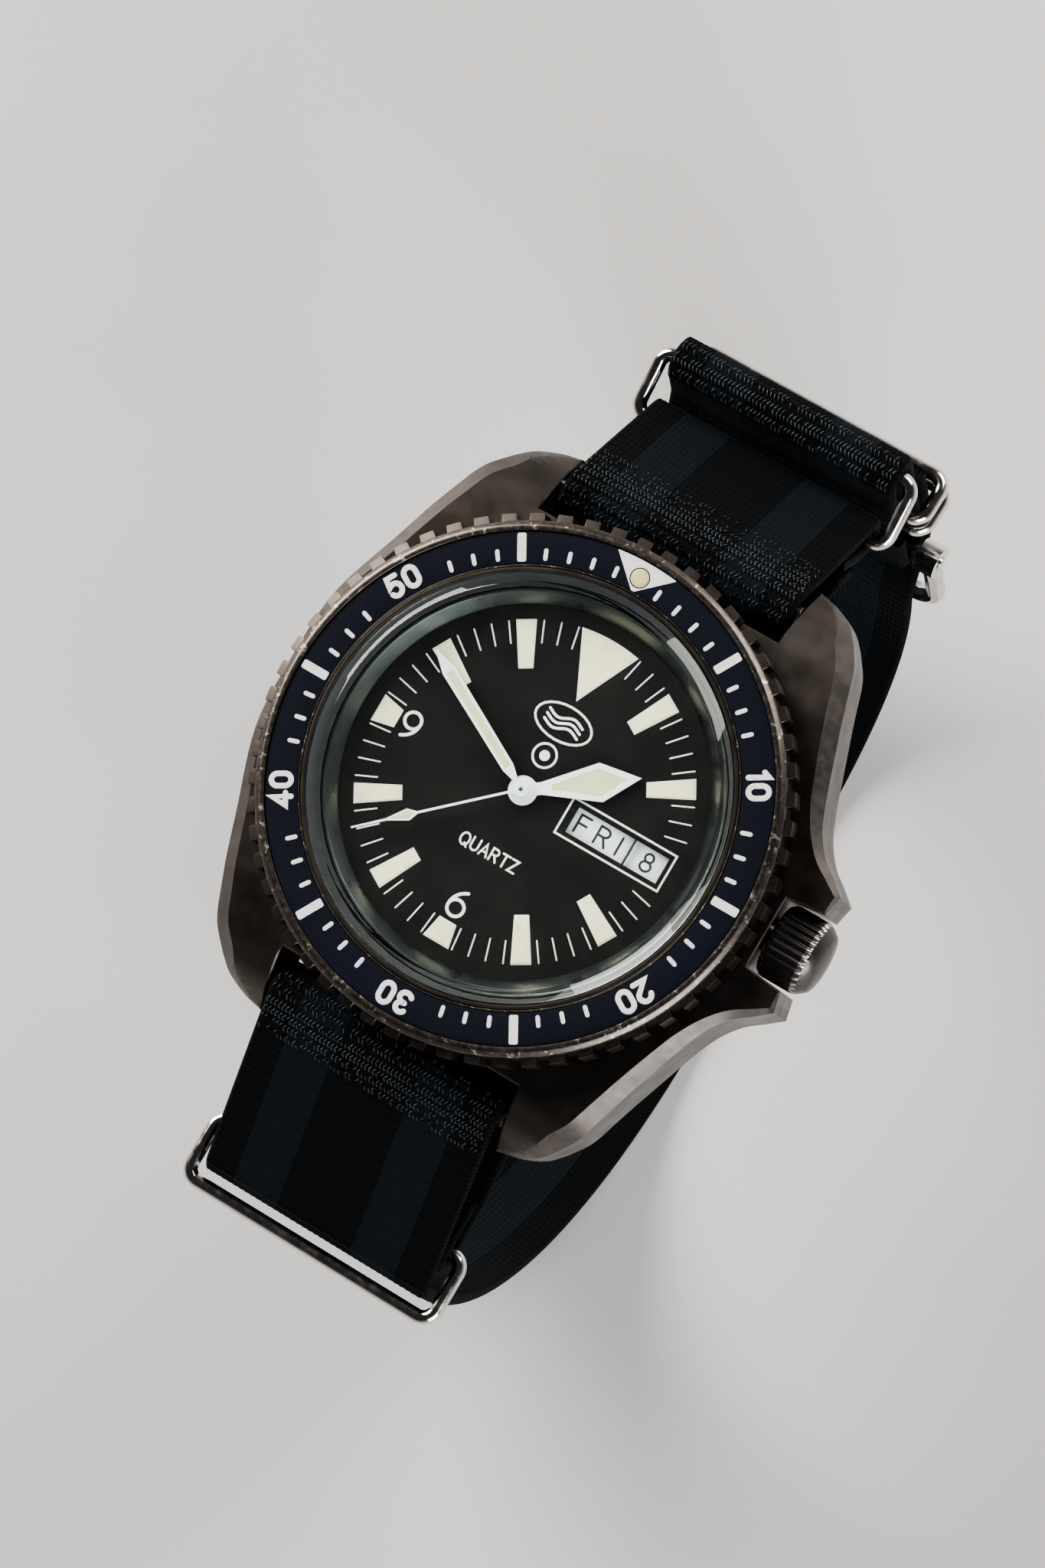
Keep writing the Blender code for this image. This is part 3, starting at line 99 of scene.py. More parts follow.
# ---------------------------------------------------------------- materials
class Look:
    """A procedural material: a Principled shader and the nodes that drive it."""

    def __init__(self, name, color, roughness, metallic=0.0, **sockets):
        self.material = bpy.data.materials.new(name)
        self.material.use_nodes = True
        self.tree = self.material.node_tree
        self.shader = self.tree.nodes["Principled BSDF"]
        self.fill(self.shader, Base_Color=(*color, 1), Roughness=roughness, Metallic=metallic, **sockets)
        self.place = self.node("TexCoord").outputs["Object"]
        self.height = None

    def feed(self, socket, value):
        """Give a socket a value, a colour or another node's output."""
        if isinstance(value, bpy.types.NodeSocket):
            self.tree.links.new(value, socket)
        else:
            socket.default_value = value

    def fill(self, node, **inputs):
        for name, value in inputs.items():
            self.feed(node.inputs[name.replace("_", " ")], value)
        return node

    def node(self, kind, **inputs):
        return self.fill(self.tree.nodes.new("ShaderNode" + kind), **inputs)

    def noise(self, scale, detail=3.0, stretch=None, rough=0.5):
        """A noise value; scale is in cycles per millimetre, stretched along an axis if asked."""
        place = self.place
        if stretch:
            place = self.node("Mapping", Vector=place, Scale=stretch).outputs["Vector"]
        return self.node("TexNoise", Vector=place, Scale=scale / MM, Detail=detail,
                         Roughness=rough).outputs["Fac"]

    def ramp(self, value, stops):
        """A colour or grey ramp over a value; stops are (place, colour or grey)."""
        made = self.node("ValToRGB", Fac=value)
        elements = made.color_ramp.elements
        while len(elements) < len(stops):
            elements.new(0.5)
        for element, (at, tone) in zip(elements, stops):
            element.position = at
            element.color = (tone, tone, tone, 1) if isinstance(tone, float) else (*tone, 1)
        return made.outputs["Color"]

    def math(self, operation, *values):
        made = self.node("Math")
        made.operation = operation
        for socket, value in zip(made.inputs, values):
            self.feed(socket, value)
        return made.outputs["Value"]

    def mix(self, factor, *colors):
        """Blend two colours or colour outputs by a factor output."""
        made = self.node("Mix")
        made.data_type = "RGBA"
        self.feed(made.inputs[0], factor)
        for socket, value in zip(made.inputs[6:8], colors):
            self.feed(socket, (*value, 1) if isinstance(value, tuple) else value)
        return made.outputs[2]

    def bump(self, value, depth, strength=1.0):
        """Add a relief of a depth in millimetres."""
        made = self.node("Bump", Height=value, Distance=depth * MM, Strength=strength)
        if self.height:
            self.fill(made, Normal=self.height)
        self.height = made.outputs["Normal"]
        self.fill(self.shader, Normal=self.height)

    def tint(self, value):
        self.fill(self.shader, Base_Color=value)

    def dull(self, value):
        self.fill(self.shader, Roughness=value)


def shade(color, factor):
    """A colour made darker or lighter."""
    return tuple(min(1.0, c * factor) for c in color)


FINISHES = {
    # bead-blasted warm grey steel: fine grain, faint clouds and rubbed patches
    "blasted": (((0.22, 4), (0.3, 0.92), (0.55, 1), (0.8, 1.08)),
                ((0.5, 5), (0.3, -0.05), (0.75, 0.06)), ((9.0, 2), 0.0025, 0.5)),
    # satin steel worn bright, with fine scratches; on the crown's flute tips the brightness is a painted
    # glint
    "rubbed": (((0.8, 7, None, 0.6), (0.3, 0.78), (0.5, 1), (0.72, 1.16)),
               ((1.6, 5), (0.3, -0.05), (0.7, 0.08)), ((6.0, 5, (1.0, 0.15, 1.0)), 0.0025, 0.4)),
    # bright wire steel with faint handling marks
    "polished": (((0.4, 4), (0.3, 0.85), (0.7, 1)),
                 ((1.2, 5), (0.35, -0.04), (0.75, 0.12)), ((4.0, 4), 0.002, 0.4)),
    # machined movement metal with straight graining
    "machined": (((1.0, 4), (0.3, 0.8), (0.7, 1.1)), None, ((6.0, 3, (1.0, 0.08, 1.0)), 0.004, 0.5)),
    # fine satin metal, almost without relief
    "satin": (((0.25, 3), (0.3, 0.9), (0.7, 1.1)),
              ((0.6, 3), (0.3, -0.03), (0.7, 0.04)), ((6.0, 2), 0.0004, 0.3)),
    # moulded plastic, rubber or paint with a fine surface grain
    "moulded": (((0.6, 4), (0.3, 0.85), (0.7, 1.12)),
                ((1.5, 3), (0.3, -0.06), (0.7, 0.08)), ((8.0, 3), 0.004, 0.5)),
    # printed paint, slightly uneven
    "printed": (((3.0, 4), (0.3, 0.9), (0.7, 1)), None, ((10.0, 2), 0.003, 0.5)),
    # luminous paint: creamy, granular and a little uneven
    "lume": (((0.9, 4), (0.3, 0.86), (0.6, 1), (0.85, 1.06)), None, ((7.0, 3), 0.012, 0.6)),
    # matte dial paint with the faintest texture
    "dial": (((0.35, 5), (0.3, 0.8), (0.7, 1.3)), None, ((9.0, 2), 0.0008, 0.4)),
    # lacquered hands
    "lacquer": (((0.8, 3), (0.3, 0.93), (0.7, 1)), None, ((6.0, 2), 0.002, 0.4)),
    # glossier thread loops that stand up where the weave is bent, painted much lighter than the strap as
    # the bends' highlights
    "thread": (((1.2, 3), (0.35, 0.35), (0.65, 1)), None, ((14.0, 2, (1.0, 0.2, 1.0)), 0.01, 0.5)),
}
METALS = ("blasted", "rubbed", "polished", "machined", "satin")


def finish(kind, name, color, roughness, depth=None, grain=None, **sockets):
    """A material of one of the FINISHES: clouds of colour, uneven roughness and a fine relief."""
    look = Look(name, color, roughness, float(kind in METALS), **sockets)
    (clouds, *tones), wear, (relief, usual_depth, strength) = FINISHES[kind]
    look.tint(look.ramp(look.noise(*clouds), [(at, shade(color, tone)) for at, tone in tones]))
    if wear:
        patches, *changes = wear
        look.dull(look.ramp(look.noise(*patches), [(at, roughness + by) for at, by in changes]))
    if grain:
        relief = (*relief[:2], grain)
    look.bump(look.noise(*relief), depth or usual_depth, strength)
    return look.material


def worn_rim():
    """Dark bezel steel with small bright nicks where it has been knocked."""
    color, roughness = (0.13, 0.111, 0.096), 0.33
    look = Look("worn_rim", color, roughness, 1.0)
    nicks = look.ramp(look.noise(1.5, 9, rough=0.72), [(0.57, 0.0), (0.66, 1.0)])
    look.tint(look.mix(nicks, color, (0.60, 0.55, 0.50)))
    look.dull(look.ramp(look.noise(2.5, 4), [(0.3, roughness - 0.06), (0.7, roughness + 0.08)]))
    look.bump(nicks, 0.010, 0.5)
    return look.material


def insert_navy():
    """Matte navy insert with a fine sparkle of grain and a few nicks."""
    color = (0.0066, 0.0080, 0.0155)
    look = Look("insert_navy", color, 0.6, Specular_IOR_Level=0.1)
    grain = look.noise(7.0, 2)
    fine = look.ramp(grain, [(0.35, shade(color, 0.7)), (0.6, color), (0.78, shade(color, 1.9))])
    nicks = look.ramp(look.noise(1.1, 8, rough=0.75), [(0.74, 0.0), (0.78, 1.0)])
    look.tint(look.mix(nicks, fine, (0.05, 0.055, 0.075)))
    look.bump(grain, 0.004, 0.6)
    return look.material


def clear_glass():
    """Flat mineral glass that lets lamps through to the dial, with hairline scratches."""
    look = Look("crystal_glass", (0.93, 0.97, 0.95), 0.0, Transmission_Weight=1.0, IOR=1.5)
    scratch = look.noise(0.35, 9, (1.0, 0.12, 1.0), 0.8)
    look.dull(look.ramp(scratch, [(0.72, 0.0), (0.78, 0.05)]))
    clear = look.node("BsdfTransparent", Color=(0.95, 0.98, 0.97, 1))
    through = look.node("MixShader", Fac=look.node("LightPath").outputs["Is Shadow Ray"])
    look.feed(through.inputs[1], look.shader.outputs["BSDF"])
    look.feed(through.inputs[2], clear.outputs["BSDF"])
    look.fill(look.tree.nodes["Material Output"], Surface=through.outputs["Shader"])
    return look.material


def strap_weave():
    """Ribbed nylon: fine cross ribs of small loops, their raised weft painted lighter as a highlight, and
    two slate stripes along the strap.

    Ribs follow the path length kept in the mesh's "run" attribute, stripes its x."""
    black, slate = (0.0012, 0.0014, 0.0018), (0.0072, 0.0105, 0.0140)
    warp_pitch, weft_pitch = 0.42, 0.4
    stripe_middle, stripe_half = 5.3, 2.08
    look = Look("strap_weave", black, 0.8, Sheen_Weight=0.03, Sheen_Roughness=0.4,
                Sheen_Tint=(0.55, 0.68, 0.8, 1), Specular_IOR_Level=0.08)
    calc = look.math
    run = look.node("Attribute")
    run.attribute_name = "run"
    across = calc("MULTIPLY", look.node("SeparateXYZ", Vector=look.place).outputs["X"], 1 / MM)
    stripe = calc("ABSOLUTE", calc("SUBTRACT", calc("ABSOLUTE", across), stripe_middle))
    edge = calc("ADD", stripe, calc("MULTIPLY", look.noise(2.5, 3), 0.25))
    warp = calc("SINE", calc("MULTIPLY", across, 2 * math.pi / warp_pitch))
    along = calc("MULTIPLY", run.outputs["Fac"], 2 * math.pi / weft_pitch)
    weft = calc("SINE", calc("ADD", along, calc("MULTIPLY", warp, 0.9)))
    thread = calc("MULTIPLY_ADD", weft, 0.5, 0.5)
    base = look.mix(calc("LESS_THAN", edge, stripe_half), black, slate)
    # painted highlight: the raised weft threads are tinted lighter than the strap
    weave_with_painted_highlight = look.mix(calc("MULTIPLY", thread, 0.3), base, (0.0085, 0.0115, 0.0145))
    uneven = calc("MULTIPLY", look.noise(1.4, 5), 0.5)
    look.tint(look.mix(uneven, weave_with_painted_highlight, (0.0014, 0.0016, 0.0020)))
    for relief, depth, strength in ((weft, 0.05, 0.6), (warp, 0.03, 0.4), (look.noise(11.0, 3), 0.02, 0.4)):
        look.bump(relief, depth, strength)
    return look.material


# ---------------------------------------------------------------- mesh helpers
def world(points):
    """Head millimetres to the row frame's metres."""
    return [(x * MM, y * MM, z * MM + HEAD) for x, y, z in points]


def add_piece(name, shape, material, body, replaces=(), sharp=35.0):
    """A mesh object from (verts, faces) in the head's frame, smooth shaded, riding on a body."""
    mesh = bpy.data.meshes.new(name)
    mesh.from_pydata(world(shape[0]), [], shape[1])
    mesh.validate()
    return finish_piece(name, mesh, material, body, replaces, sharp)


def put(name, data):
    """A new object of some data in the scene."""
    obj = bpy.data.objects.new(name, data)
    bpy.context.scene.collection.objects.link(obj)
    return obj


def evaluated(obj):
    """A new mesh of an object as its modifiers or its curve make it."""
    bpy.context.view_layer.update()
    return bpy.data.meshes.new_from_object(obj.evaluated_get(bpy.context.evaluated_depsgraph_get()))


def finish_piece(name, mesh, material, body, replaces=(), sharp=35.0):
    """Weld and shade a mesh, give it its materials, put its object on a body and hide the CAD parts it
    takes the place of.
    """
    work = bmesh.new()
    work.from_mesh(mesh)
    bmesh.ops.remove_doubles(work, verts=work.verts, dist=1e-7)
    bmesh.ops.recalc_face_normals(work, faces=work.faces)
    work.to_mesh(mesh)
    work.free()
    mesh.shade_smooth()
    mesh.set_sharp_from_angle(angle=math.radians(sharp))
    for entry in material if isinstance(material, list) else [material]:
        mesh.materials.append(entry)
    obj = put(name, mesh)
    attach(obj, body)
    if replaces:
        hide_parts(replaces)
    return obj


def bevelled(obj, width, segments=2, angle=35.0):
    """Round an object's sharp edges a little."""
    made = obj.modifiers.new("rounded", "BEVEL")
    made.width, made.segments = width * MM, segments
    made.limit_method, made.angle_limit = "ANGLE", math.radians(angle)
    made.harden_normals = made.use_clamp_overlap = True


def refined(node, material, body, width=0.05, segments=2, name=None):
    """A CAD node's own shape, welded, smooth shaded and with its edges rounded."""
    mesh = frame["nodes"][node].data.copy()
    mesh.materials.clear()
    work = bmesh.new()
    work.from_mesh(mesh)
    bmesh.ops.remove_doubles(work, verts=work.verts, dist=1e-7)
    bmesh.ops.dissolve_limit(work, angle_limit=math.radians(1.0), verts=work.verts, edges=work.edges)
    work.to_mesh(mesh)
    work.free()
    obj = finish_piece(name or node + "_look", mesh, material, body, node)
    if width:
        bevelled(obj, width, segments)
    return obj


def rounded(profile, radius, steps=3, closed=True):
    """A profile with its corners rounded; a corner given as (r, z, radius) has its own."""
    points = []
    count = len(profile)
    for i, corner in enumerate(profile):
        here = Vector(corner[:2])
        size = corner[2] if len(corner) > 2 else radius
        ends = not closed and i in (0, count - 1)
        before, after = Vector(profile[i - 1][:2]), Vector(profile[(i + 1) % count][:2])
        into, out = before - here, after - here
        if ends or size <= 0 or into.length < 1e-6 or out.length < 1e-6:
            points.append(tuple(here))
            continue
        size = min(size, into.length * 0.45, out.length * 0.45)
        start, end = here + into.normalized() * size, here + out.normalized() * size
        for k in range(steps + 1):
            t = k / steps
            point = start * (1 - t) ** 2 + here * 2 * t * (1 - t) + end * t ** 2
            points.append(tuple(point))
    return points


def lathe(profile, segments=180, closed=True, radius_of=None, axis="z", centre=(0, 0, 0)):
    """Verts and faces of a profile of (radius, z) turned about an axis.

    radius_of(radius, z, angle) may change a point's radius with the angle."""
    verts = []
    for i in range(segments):
        angle = 2 * math.pi * i / segments
        cos, sin = math.cos(angle), math.sin(angle)
        for radius, z in profile:
            reach = radius_of(radius, z, angle) if radius_of else radius
            point = (reach * cos, reach * sin, z) if axis == "z" else (z, reach * cos, reach * sin)
            verts.append(tuple(p + c for p, c in zip(point, centre)))
    return verts, tube(segments, len(profile), True, closed)


def unit_circle(count):
    return [(math.cos(a), math.sin(a)) for a in (2 * math.pi * i / count for i in range(count))]


def tube(rows, columns, joined_up=False, closed=True):
    """Faces between rows of points.

    A closed row is a ring, and joined_up links the last row to the first."""
    faces = []
    for i in range(rows if joined_up else rows - 1):
        j = (i + 1) % rows
        for k in range(columns if closed else columns - 1):
            m = (k + 1) % columns
            faces.append([i * columns + k, j * columns + k, j * columns + m, i * columns + m])
    return faces


def joined(*parts):
    """Several (verts, faces) lists as one."""
    verts, faces = [], []
    for more_verts, more_faces in parts:
        base = len(verts)
        verts += more_verts
        faces += [[base + i for i in face] for face in more_faces]
    return verts, faces


def prism(outline, top, base, inset=0.0):
    """A flat outline between two heights, its top edge drawn in a little."""
    count = len(outline)
    middle = Vector((sum(p[0] for p in outline) / count, sum(p[1] for p in outline) / count))
    upper = []
    for x, y in outline:
        inward = middle - Vector((x, y))
        inward = inward.normalized() * min(inset, inward.length) if inward.length > 1e-9 else inward
        upper.append((x + inward.x, y + inward.y, top))
    verts = [(x, y, base) for x, y in outline] + upper
    faces = [[i, (i + 1) % count, count + (i + 1) % count, count + i] for i in range(count)]
    faces += [list(range(count, 2 * count)), list(range(count))[::-1]]
    return verts, faces


def clock(angle, radius):
    """The point at a clock angle (degrees from 12, clockwise) and radius."""
    turn = math.radians(90 - angle)
    return (radius * math.cos(turn), radius * math.sin(turn))


def swung(points, angle, centre=(0, 0)):
    """An outline drawn towards 12 o'clock, turned to a clock angle."""
    turn = math.radians(-angle)
    cos, sin = math.cos(turn), math.sin(turn)
    return [(centre[0] + x * cos - y * sin, centre[1] + x * sin + y * cos) for x, y in points]


def bow(cx, cy, rx, ry, start, end, count=12):
    """Points along an ellipse; angles in degrees."""
    steps = [math.radians(start + (end - start) * i / count) for i in range(count + 1)]
    return [(cx + rx * math.cos(a), cy + ry * math.sin(a)) for a in steps]


def arc(centre, radius, start, end, count):
    return bow(*centre, radius, radius, start, end, count)


# ---------------------------------------------------------------- painted strokes


def oval(cx, cy, rx, ry):
    return bow(cx, cy, rx, ry, 0, 360, 24)


W = 0.62
GLYPHS = {
    "0": [bow(W / 2, 0.68, W / 2, 0.32, 0, 180) + bow(W / 2, 0.32, W / 2, 0.32, 180, 360)
          + [(W, 0.68)]],
    "1": [[(0.12, 0.80), (0.36, 1), (0.36, 0)]],
    "2": [bow(W / 2, 0.70, W / 2, 0.30, 170, -35) + [(0.0, 0.0), (W, 0.0)]],
    "3": [bow(0.29, 0.76, 0.27, 0.24, 150, -90) + [(0.22, 0.52)],
          [(0.22, 0.52)] + bow(0.29, 0.26, W / 2, 0.26, 90, -150)],
    "4": [[(W, 0.27), (0.0, 0.27), (0.44, 1), (0.44, 0)]],
    "5": [[(0.56, 1), (0.10, 1), (0.05, 0.54)] + bow(0.30, 0.32, W / 2, 0.32, 120, -150)],
    "6": [oval(W / 2, 0.30, W / 2, 0.30), bow(0.74, 0.33, 0.74, 0.67, 180, 112)],
    "7": [[(0, 1), (W, 1), (0.2, 0)]],
    "8": [oval(W / 2, 0.76, 0.25, 0.24), oval(W / 2, 0.27, W / 2, 0.27)],
    "9": [oval(W / 2, 0.70, W / 2, 0.30), bow(-0.12, 0.67, 0.74, 0.67, 0, -68)],
    "A": [[(0, 0), (0.33, 1), (0.66, 0)], [(0.11, 0.34), (0.55, 0.34)]],
    "D": [[(0, 0), (0, 1), (0.2, 1)] + bow(0.2, 0.5, 0.4, 0.5, 90, -90) + [(0, 0)]],
    "E": [[(0.55, 1), (0, 1), (0, 0), (0.55, 0)], [(0, 0.52), (0.48, 0.52)]],
    "F": [[(0.55, 1), (0, 1), (0, 0)], [(0, 0.52), (0.48, 0.52)]],
    "H": [[(0, 0), (0, 1)], [(W, 0), (W, 1)], [(0, 0.52), (W, 0.52)]],
    "I": [[(0.1, 0), (0.1, 1)]],
    "M": [[(0, 0), (0, 1), (0.36, 0.35), (0.72, 1), (0.72, 0)]],
    "N": [[(0, 0), (0, 1), (W, 0), (W, 1)]],
    "O": [oval(0.38, 0.5, 0.38, 0.5)],
    "Q": [oval(0.38, 0.5, 0.38, 0.5), [(0.48, 0.2), (0.74, -0.06)]],
    "R": [[(0, 0), (0, 1), (0.3, 1)] + bow(0.32, 0.75, 0.26, 0.25, 90, -90) + [(0, 0.5)],
          [(0.32, 0.5), (0.6, 0)]],
    "S": [bow(0.3, 0.75, 0.26, 0.25, 35, 270) + bow(0.3, 0.25, 0.28, 0.25, 90, -145)],
    "T": [[(0, 1), (0.66, 1)], [(0.33, 1), (0.33, 0)]],
    "U": [[(0, 1), (0, 0.3)] + bow(W / 2, 0.3, W / 2, 0.3, 180, 360) + [(W, 1)]],
    "W": [[(0, 1), (0.22, 0), (0.44, 0.8), (0.66, 0), (0.88, 1)]],
    "Z": [[(0, 1), (0.6, 1), (0, 0), (0.6, 0)]],
}
GLYPH_WIDTH = {"1": 0.42, "I": 0.2, "M": 0.72, "W": 0.88, "O": 0.76, "Q": 0.76, "A": 0.66}


def lettering(text, size, gap=0.25, squeeze=1.0):
    """Centred polylines of a text drawn upright about the origin; size is its stroke height."""
    lines, x = [], 0.0
    for letter in text:
        for points in GLYPHS[letter]:
            lines.append([((x + px) * size * squeeze, (py - 0.5) * size) for px, py in points])
        x += GLYPH_WIDTH.get(letter, W) + gap
    half = (x - gap) * size * squeeze / 2
    return [[(px - half, py) for px, py in points] for points in lines]


def placed(lines, angle, radius):
    """Turn upright lines to a clock angle and move them out to a radius."""
    return [swung([(x, y + radius) for x, y in points], angle) for points in lines]


def heading(vector, otherwise):
    return vector.normalized() if vector.length > 1e-6 else otherwise


def strokes(lines, width, height, lift):
    """Painted strokes with round ends: (verts, faces), a low dome of the given lift."""
    parts = []
    half = width / 2
    section = unit_circle(12)[:7]
    size = len(section)
    for points in lines:
        clean = [Vector(points[0])]
        for point in points[1:]:
            if (Vector(point) - clean[-1]).length > 1e-5:
                clean.append(Vector(point))
        closed = (clean[0] - clean[-1]).length < 1e-4
        if closed:
            clean.pop()
        stations = []
        count = len(clean)
        for i, here in enumerate(clean):
            into = here - clean[i - 1] if closed or i else Vector((0, 0))
            out = clean[(i + 1) % count] - here if closed or i < count - 1 else Vector((0, 0))
            into = heading(into, heading(out, out))
            along = heading(into + heading(out, into), into)
            stretch = 1 / max(0.45, along.dot(into))
            stations.append((here, Vector((-along.y, along.x)), half * stretch, 1.0, along))
        if not closed:
            for end in (0, -1):
                here, side, _, _, along = stations[end]
                away = -along if end == 0 else along
                caps = []
                for angle in map(math.radians, (30, 55, 75, 89)):
                    caps.append((here + away * half * math.sin(angle), side,
                                 half * math.cos(angle), math.cos(angle), along))
                stations = caps[::-1] + stations if end == 0 else stations + caps
        verts = [(here.x - side.x * reach * cos, here.y - side.y * reach * cos,
                  height + lift * low * sin)
                 for here, side, reach, low, _ in stations for cos, sin in section]
        total = len(stations)
        faces = tube(total, size, closed)
        if not closed:
            faces += [list(range(size)), list(range((total - 1) * size, total * size))[::-1]]
        parts.append((verts, faces))
    return joined(*parts)


def radial(angle, inner, outer):
    """A short line that points at the dial's centre."""
    return [clock(angle, inner), clock(angle, outer)]


# ---------------------------------------------------------------- bezel
TEETH = 60
NOTCH_PITCH = 2 * math.pi / TEETH
GRIP_TOP, GRIP_BASE = -0.42, BEZEL_BASE + 0.32


def bezel_columns():
    """Angles of the bezel's mesh columns, with how far each stands out (0 gap, 1 tooth)."""
    columns = []
    for tooth in range(TEETH):
        middle = (tooth + 0.5) * NOTCH_PITCH
        for share, reach in ((-0.5, 0), (-0.4, 0), (-0.29, 0), (-0.27, 0.82), (-0.25, 1), (-0.12, 1),
                             (0.0, 1), (0.12, 1), (0.25, 1), (0.27, 0.82), (0.29, 0), (0.4, 0)):
            columns.append((middle + share * NOTCH_PITCH, reach))
    return columns


def make_bezel(steel, bright):
    """Notched bezel ring, its top edge worn bright."""
    neck, lip = 17.05, 16.3
    inner = INSERT_INNER - 0.02
    profile = rounded([
        (INSERT_OUTER + 0.02, BEZEL_TOP, 0.05), (RIM_RADIUS - 0.40, BEZEL_TOP, 0.12),
        (RIM_RADIUS, BEZEL_TOP - 0.28, 0.1), (RIM_RADIUS, GRIP_TOP + 0.04, 0.03),
        (RIM_RADIUS + 1, GRIP_TOP, 0.07), (RIM_RADIUS + 1, GRIP_BASE, 0.07),
        (RIM_RADIUS, GRIP_BASE - 0.04, 0.03), (RIM_RADIUS, BEZEL_BASE + 0.15, 0.05),
        (RIM_RADIUS - 0.3, BEZEL_BASE, 0.1), (neck, BEZEL_BASE, 0.05), (neck, -0.9, 0.05),
        (lip, -0.9, 0.05), (lip, BEZEL_TOP - 0.1, 0.06), (inner, BEZEL_TOP - 0.1, 0.03),
        (inner, -0.82, 0.03), (INSERT_OUTER + 0.02, -0.82, 0.03)], 0.05)
    columns = bezel_columns()
    verts = []
    for angle, reach in columns:
        for radius, z in profile:
            if radius > RIM_RADIUS:
                radius = RIM_RADIUS + (BEZEL_RADIUS - RIM_RADIUS) * min(1.0, radius - RIM_RADIUS) * reach
            verts.append((radius * math.cos(angle), radius * math.sin(angle), z))
    bezel = add_piece("bezel_body", (verts, tube(len(columns), len(profile), True)), [steel, bright],
                      "bezel", "bezel_ring", 30)
    for face in bezel.data.polygons:
        x, y, z = face.center / MM
        if z > HEAD / MM - 0.25 and math.hypot(x, y) < RIM_RADIUS + 0.045:
            face.material_index = 1


def make_insert(navy, white, glow):
    """Bezel insert, its raised minute print and the luminous pip."""
    depth = 0.8
    profile = rounded([(INSERT_OUTER, 0, 0.08), (INSERT_OUTER, -depth, 0.04),
                       (INSERT_INNER, -depth, 0.04), (INSERT_INNER, 0, 0.08)], 0.05)
    add_piece("insert_plate", lathe(profile, 240), navy, "bezel", "bezel_insert")
    low, base = INSERT_INNER + 0.3, -0.004
    lines = [radial(6 * m, low + 0.16, low + 0.76) for m in range(1, 60)
             if m % 10 not in (0, 5) and (m in (1, 59) or m % 10 not in (1, 9))]
    parts = [strokes(lines, 0.34, base, 0.022)]
    parts += [prism(bar_outline(6 * m, low - 0.12, INSERT_OUTER - 0.16, 0.68), 0.016, base, 0.02)
              for m in range(5, 60, 10)]
    for minute in (10, 20, 30, 40, 50):
        text = placed(lettering(str(minute), 1.50, 0.36, 0.98), 6 * minute, 17.70)
        parts.append(strokes(text, 0.43, base, 0.024))
    arrow = [(-2.48, 18.66)] + [clock(a, 18.86) for a in np.linspace(-7.4, 7.4, 9)]
    arrow += [(2.48, 18.66), (0.12, 16.52), (-0.12, 16.52)]
    pip_y = INSERT_OUTER - 1.35
    hole = [(0.78 * cos, pip_y + 0.78 * sin) for cos, sin in unit_circle(32)]
    parts.append(plate_with_hole(arrow[::-1], hole, 0.016, base))
    add_piece("insert_print", joined(*parts), white, "bezel")
    profile = rounded([(0, 0.13), (0.45, 0.11), (0.70, 0.02, 0.05), (0.70, -0.5, 0.02), (0, -0.5)],
                      0.05, closed=False)
    add_piece("pip_lens", lathe(profile, 40, closed=False, centre=(0, pip_y, 0)), glow, "bezel",
              "bezel_pip")


def bar_outline(angle, inner, outer, width, corner=0.14):
    """A rounded bar lying along a clock angle."""
    half = width / 2
    points = []
    for cx, cy, start in ((half - corner, inner + corner, -90), (half - corner, outer - corner, 0),
                          (corner - half, outer - corner, 90), (corner - half, inner + corner, 180)):
        points += arc((cx, cy), corner, start, start + 90, 4)
    return swung(points, angle)


def plate_with_hole(outline, hole, top, base):
    """A flat plate with one hole, between two heights."""
    work = bmesh.new()
    rings = []
    for points in (outline, hole):
        verts = [work.verts.new((x, y, top)) for x, y in points]
        rings.append([work.edges.new((a, b)) for a, b in zip(verts, verts[1:] + verts[:1])])
    bmesh.ops.triangle_fill(work, edges=rings[0] + rings[1], use_beauty=True)
    bmesh.ops.recalc_face_normals(work, faces=work.faces)
    if work.faces and work.faces[:][0].normal.z < 0:
        bmesh.ops.reverse_faces(work, faces=work.faces)
    grown = bmesh.ops.extrude_face_region(work, geom=work.faces[:])
    for item in grown["geom"]:
        if isinstance(item, bmesh.types.BMVert):
            item.co.z = base
    work.verts.index_update()
    verts = [tuple(v.co) for v in work.verts]
    faces = [[v.index for v in f.verts] for f in work.faces]
    work.free()
    return verts, faces


# ---------------------------------------------------------------- glass and dial
def make_crystal(glass):
    """Flat crystal with a bevelled edge."""
    side = CRYSTAL_RADIUS
    profile = rounded([(0, CRYSTAL_TOP), (side - 0.85, CRYSTAL_TOP, 0.12),
                       (side, CRYSTAL_TOP - 0.52, 0.1), (side, CRYSTAL_BASE + 0.1, 0.04),
                       (side - 0.1, CRYSTAL_BASE, 0.04), (0, CRYSTAL_BASE)], 0.05, 3, False)
    add_piece("crystal_pane", lathe(profile, 192, closed=False), glass, "root",
              "crystal", 20)


def make_rehaut(metal):
    """Sloping ring between the dial and the crystal."""
    wide, inner, top = BORE - 0.1, 13.80, CRYSTAL_BASE - 0.1
    profile = rounded([(wide, top, 0.05), (wide, DIAL_TOP + 0.02), (inner, DIAL_TOP + 0.02),
                       (inner, DIAL_TOP + 0.14, 0.04), (wide - 0.22, top, 0.05)], 0.0)
    add_piece("rehaut", lathe(profile, 192), metal, "root", "rehaut_ring")


def wedge(angle, inner, outer, inner_width, outer_width):
    """A dial marker: a bar that widens outwards."""
    a, b = inner_width / 2, outer_width / 2
    return swung([(-a, inner), (a, inner), (b, outer), (-b, outer)], angle)


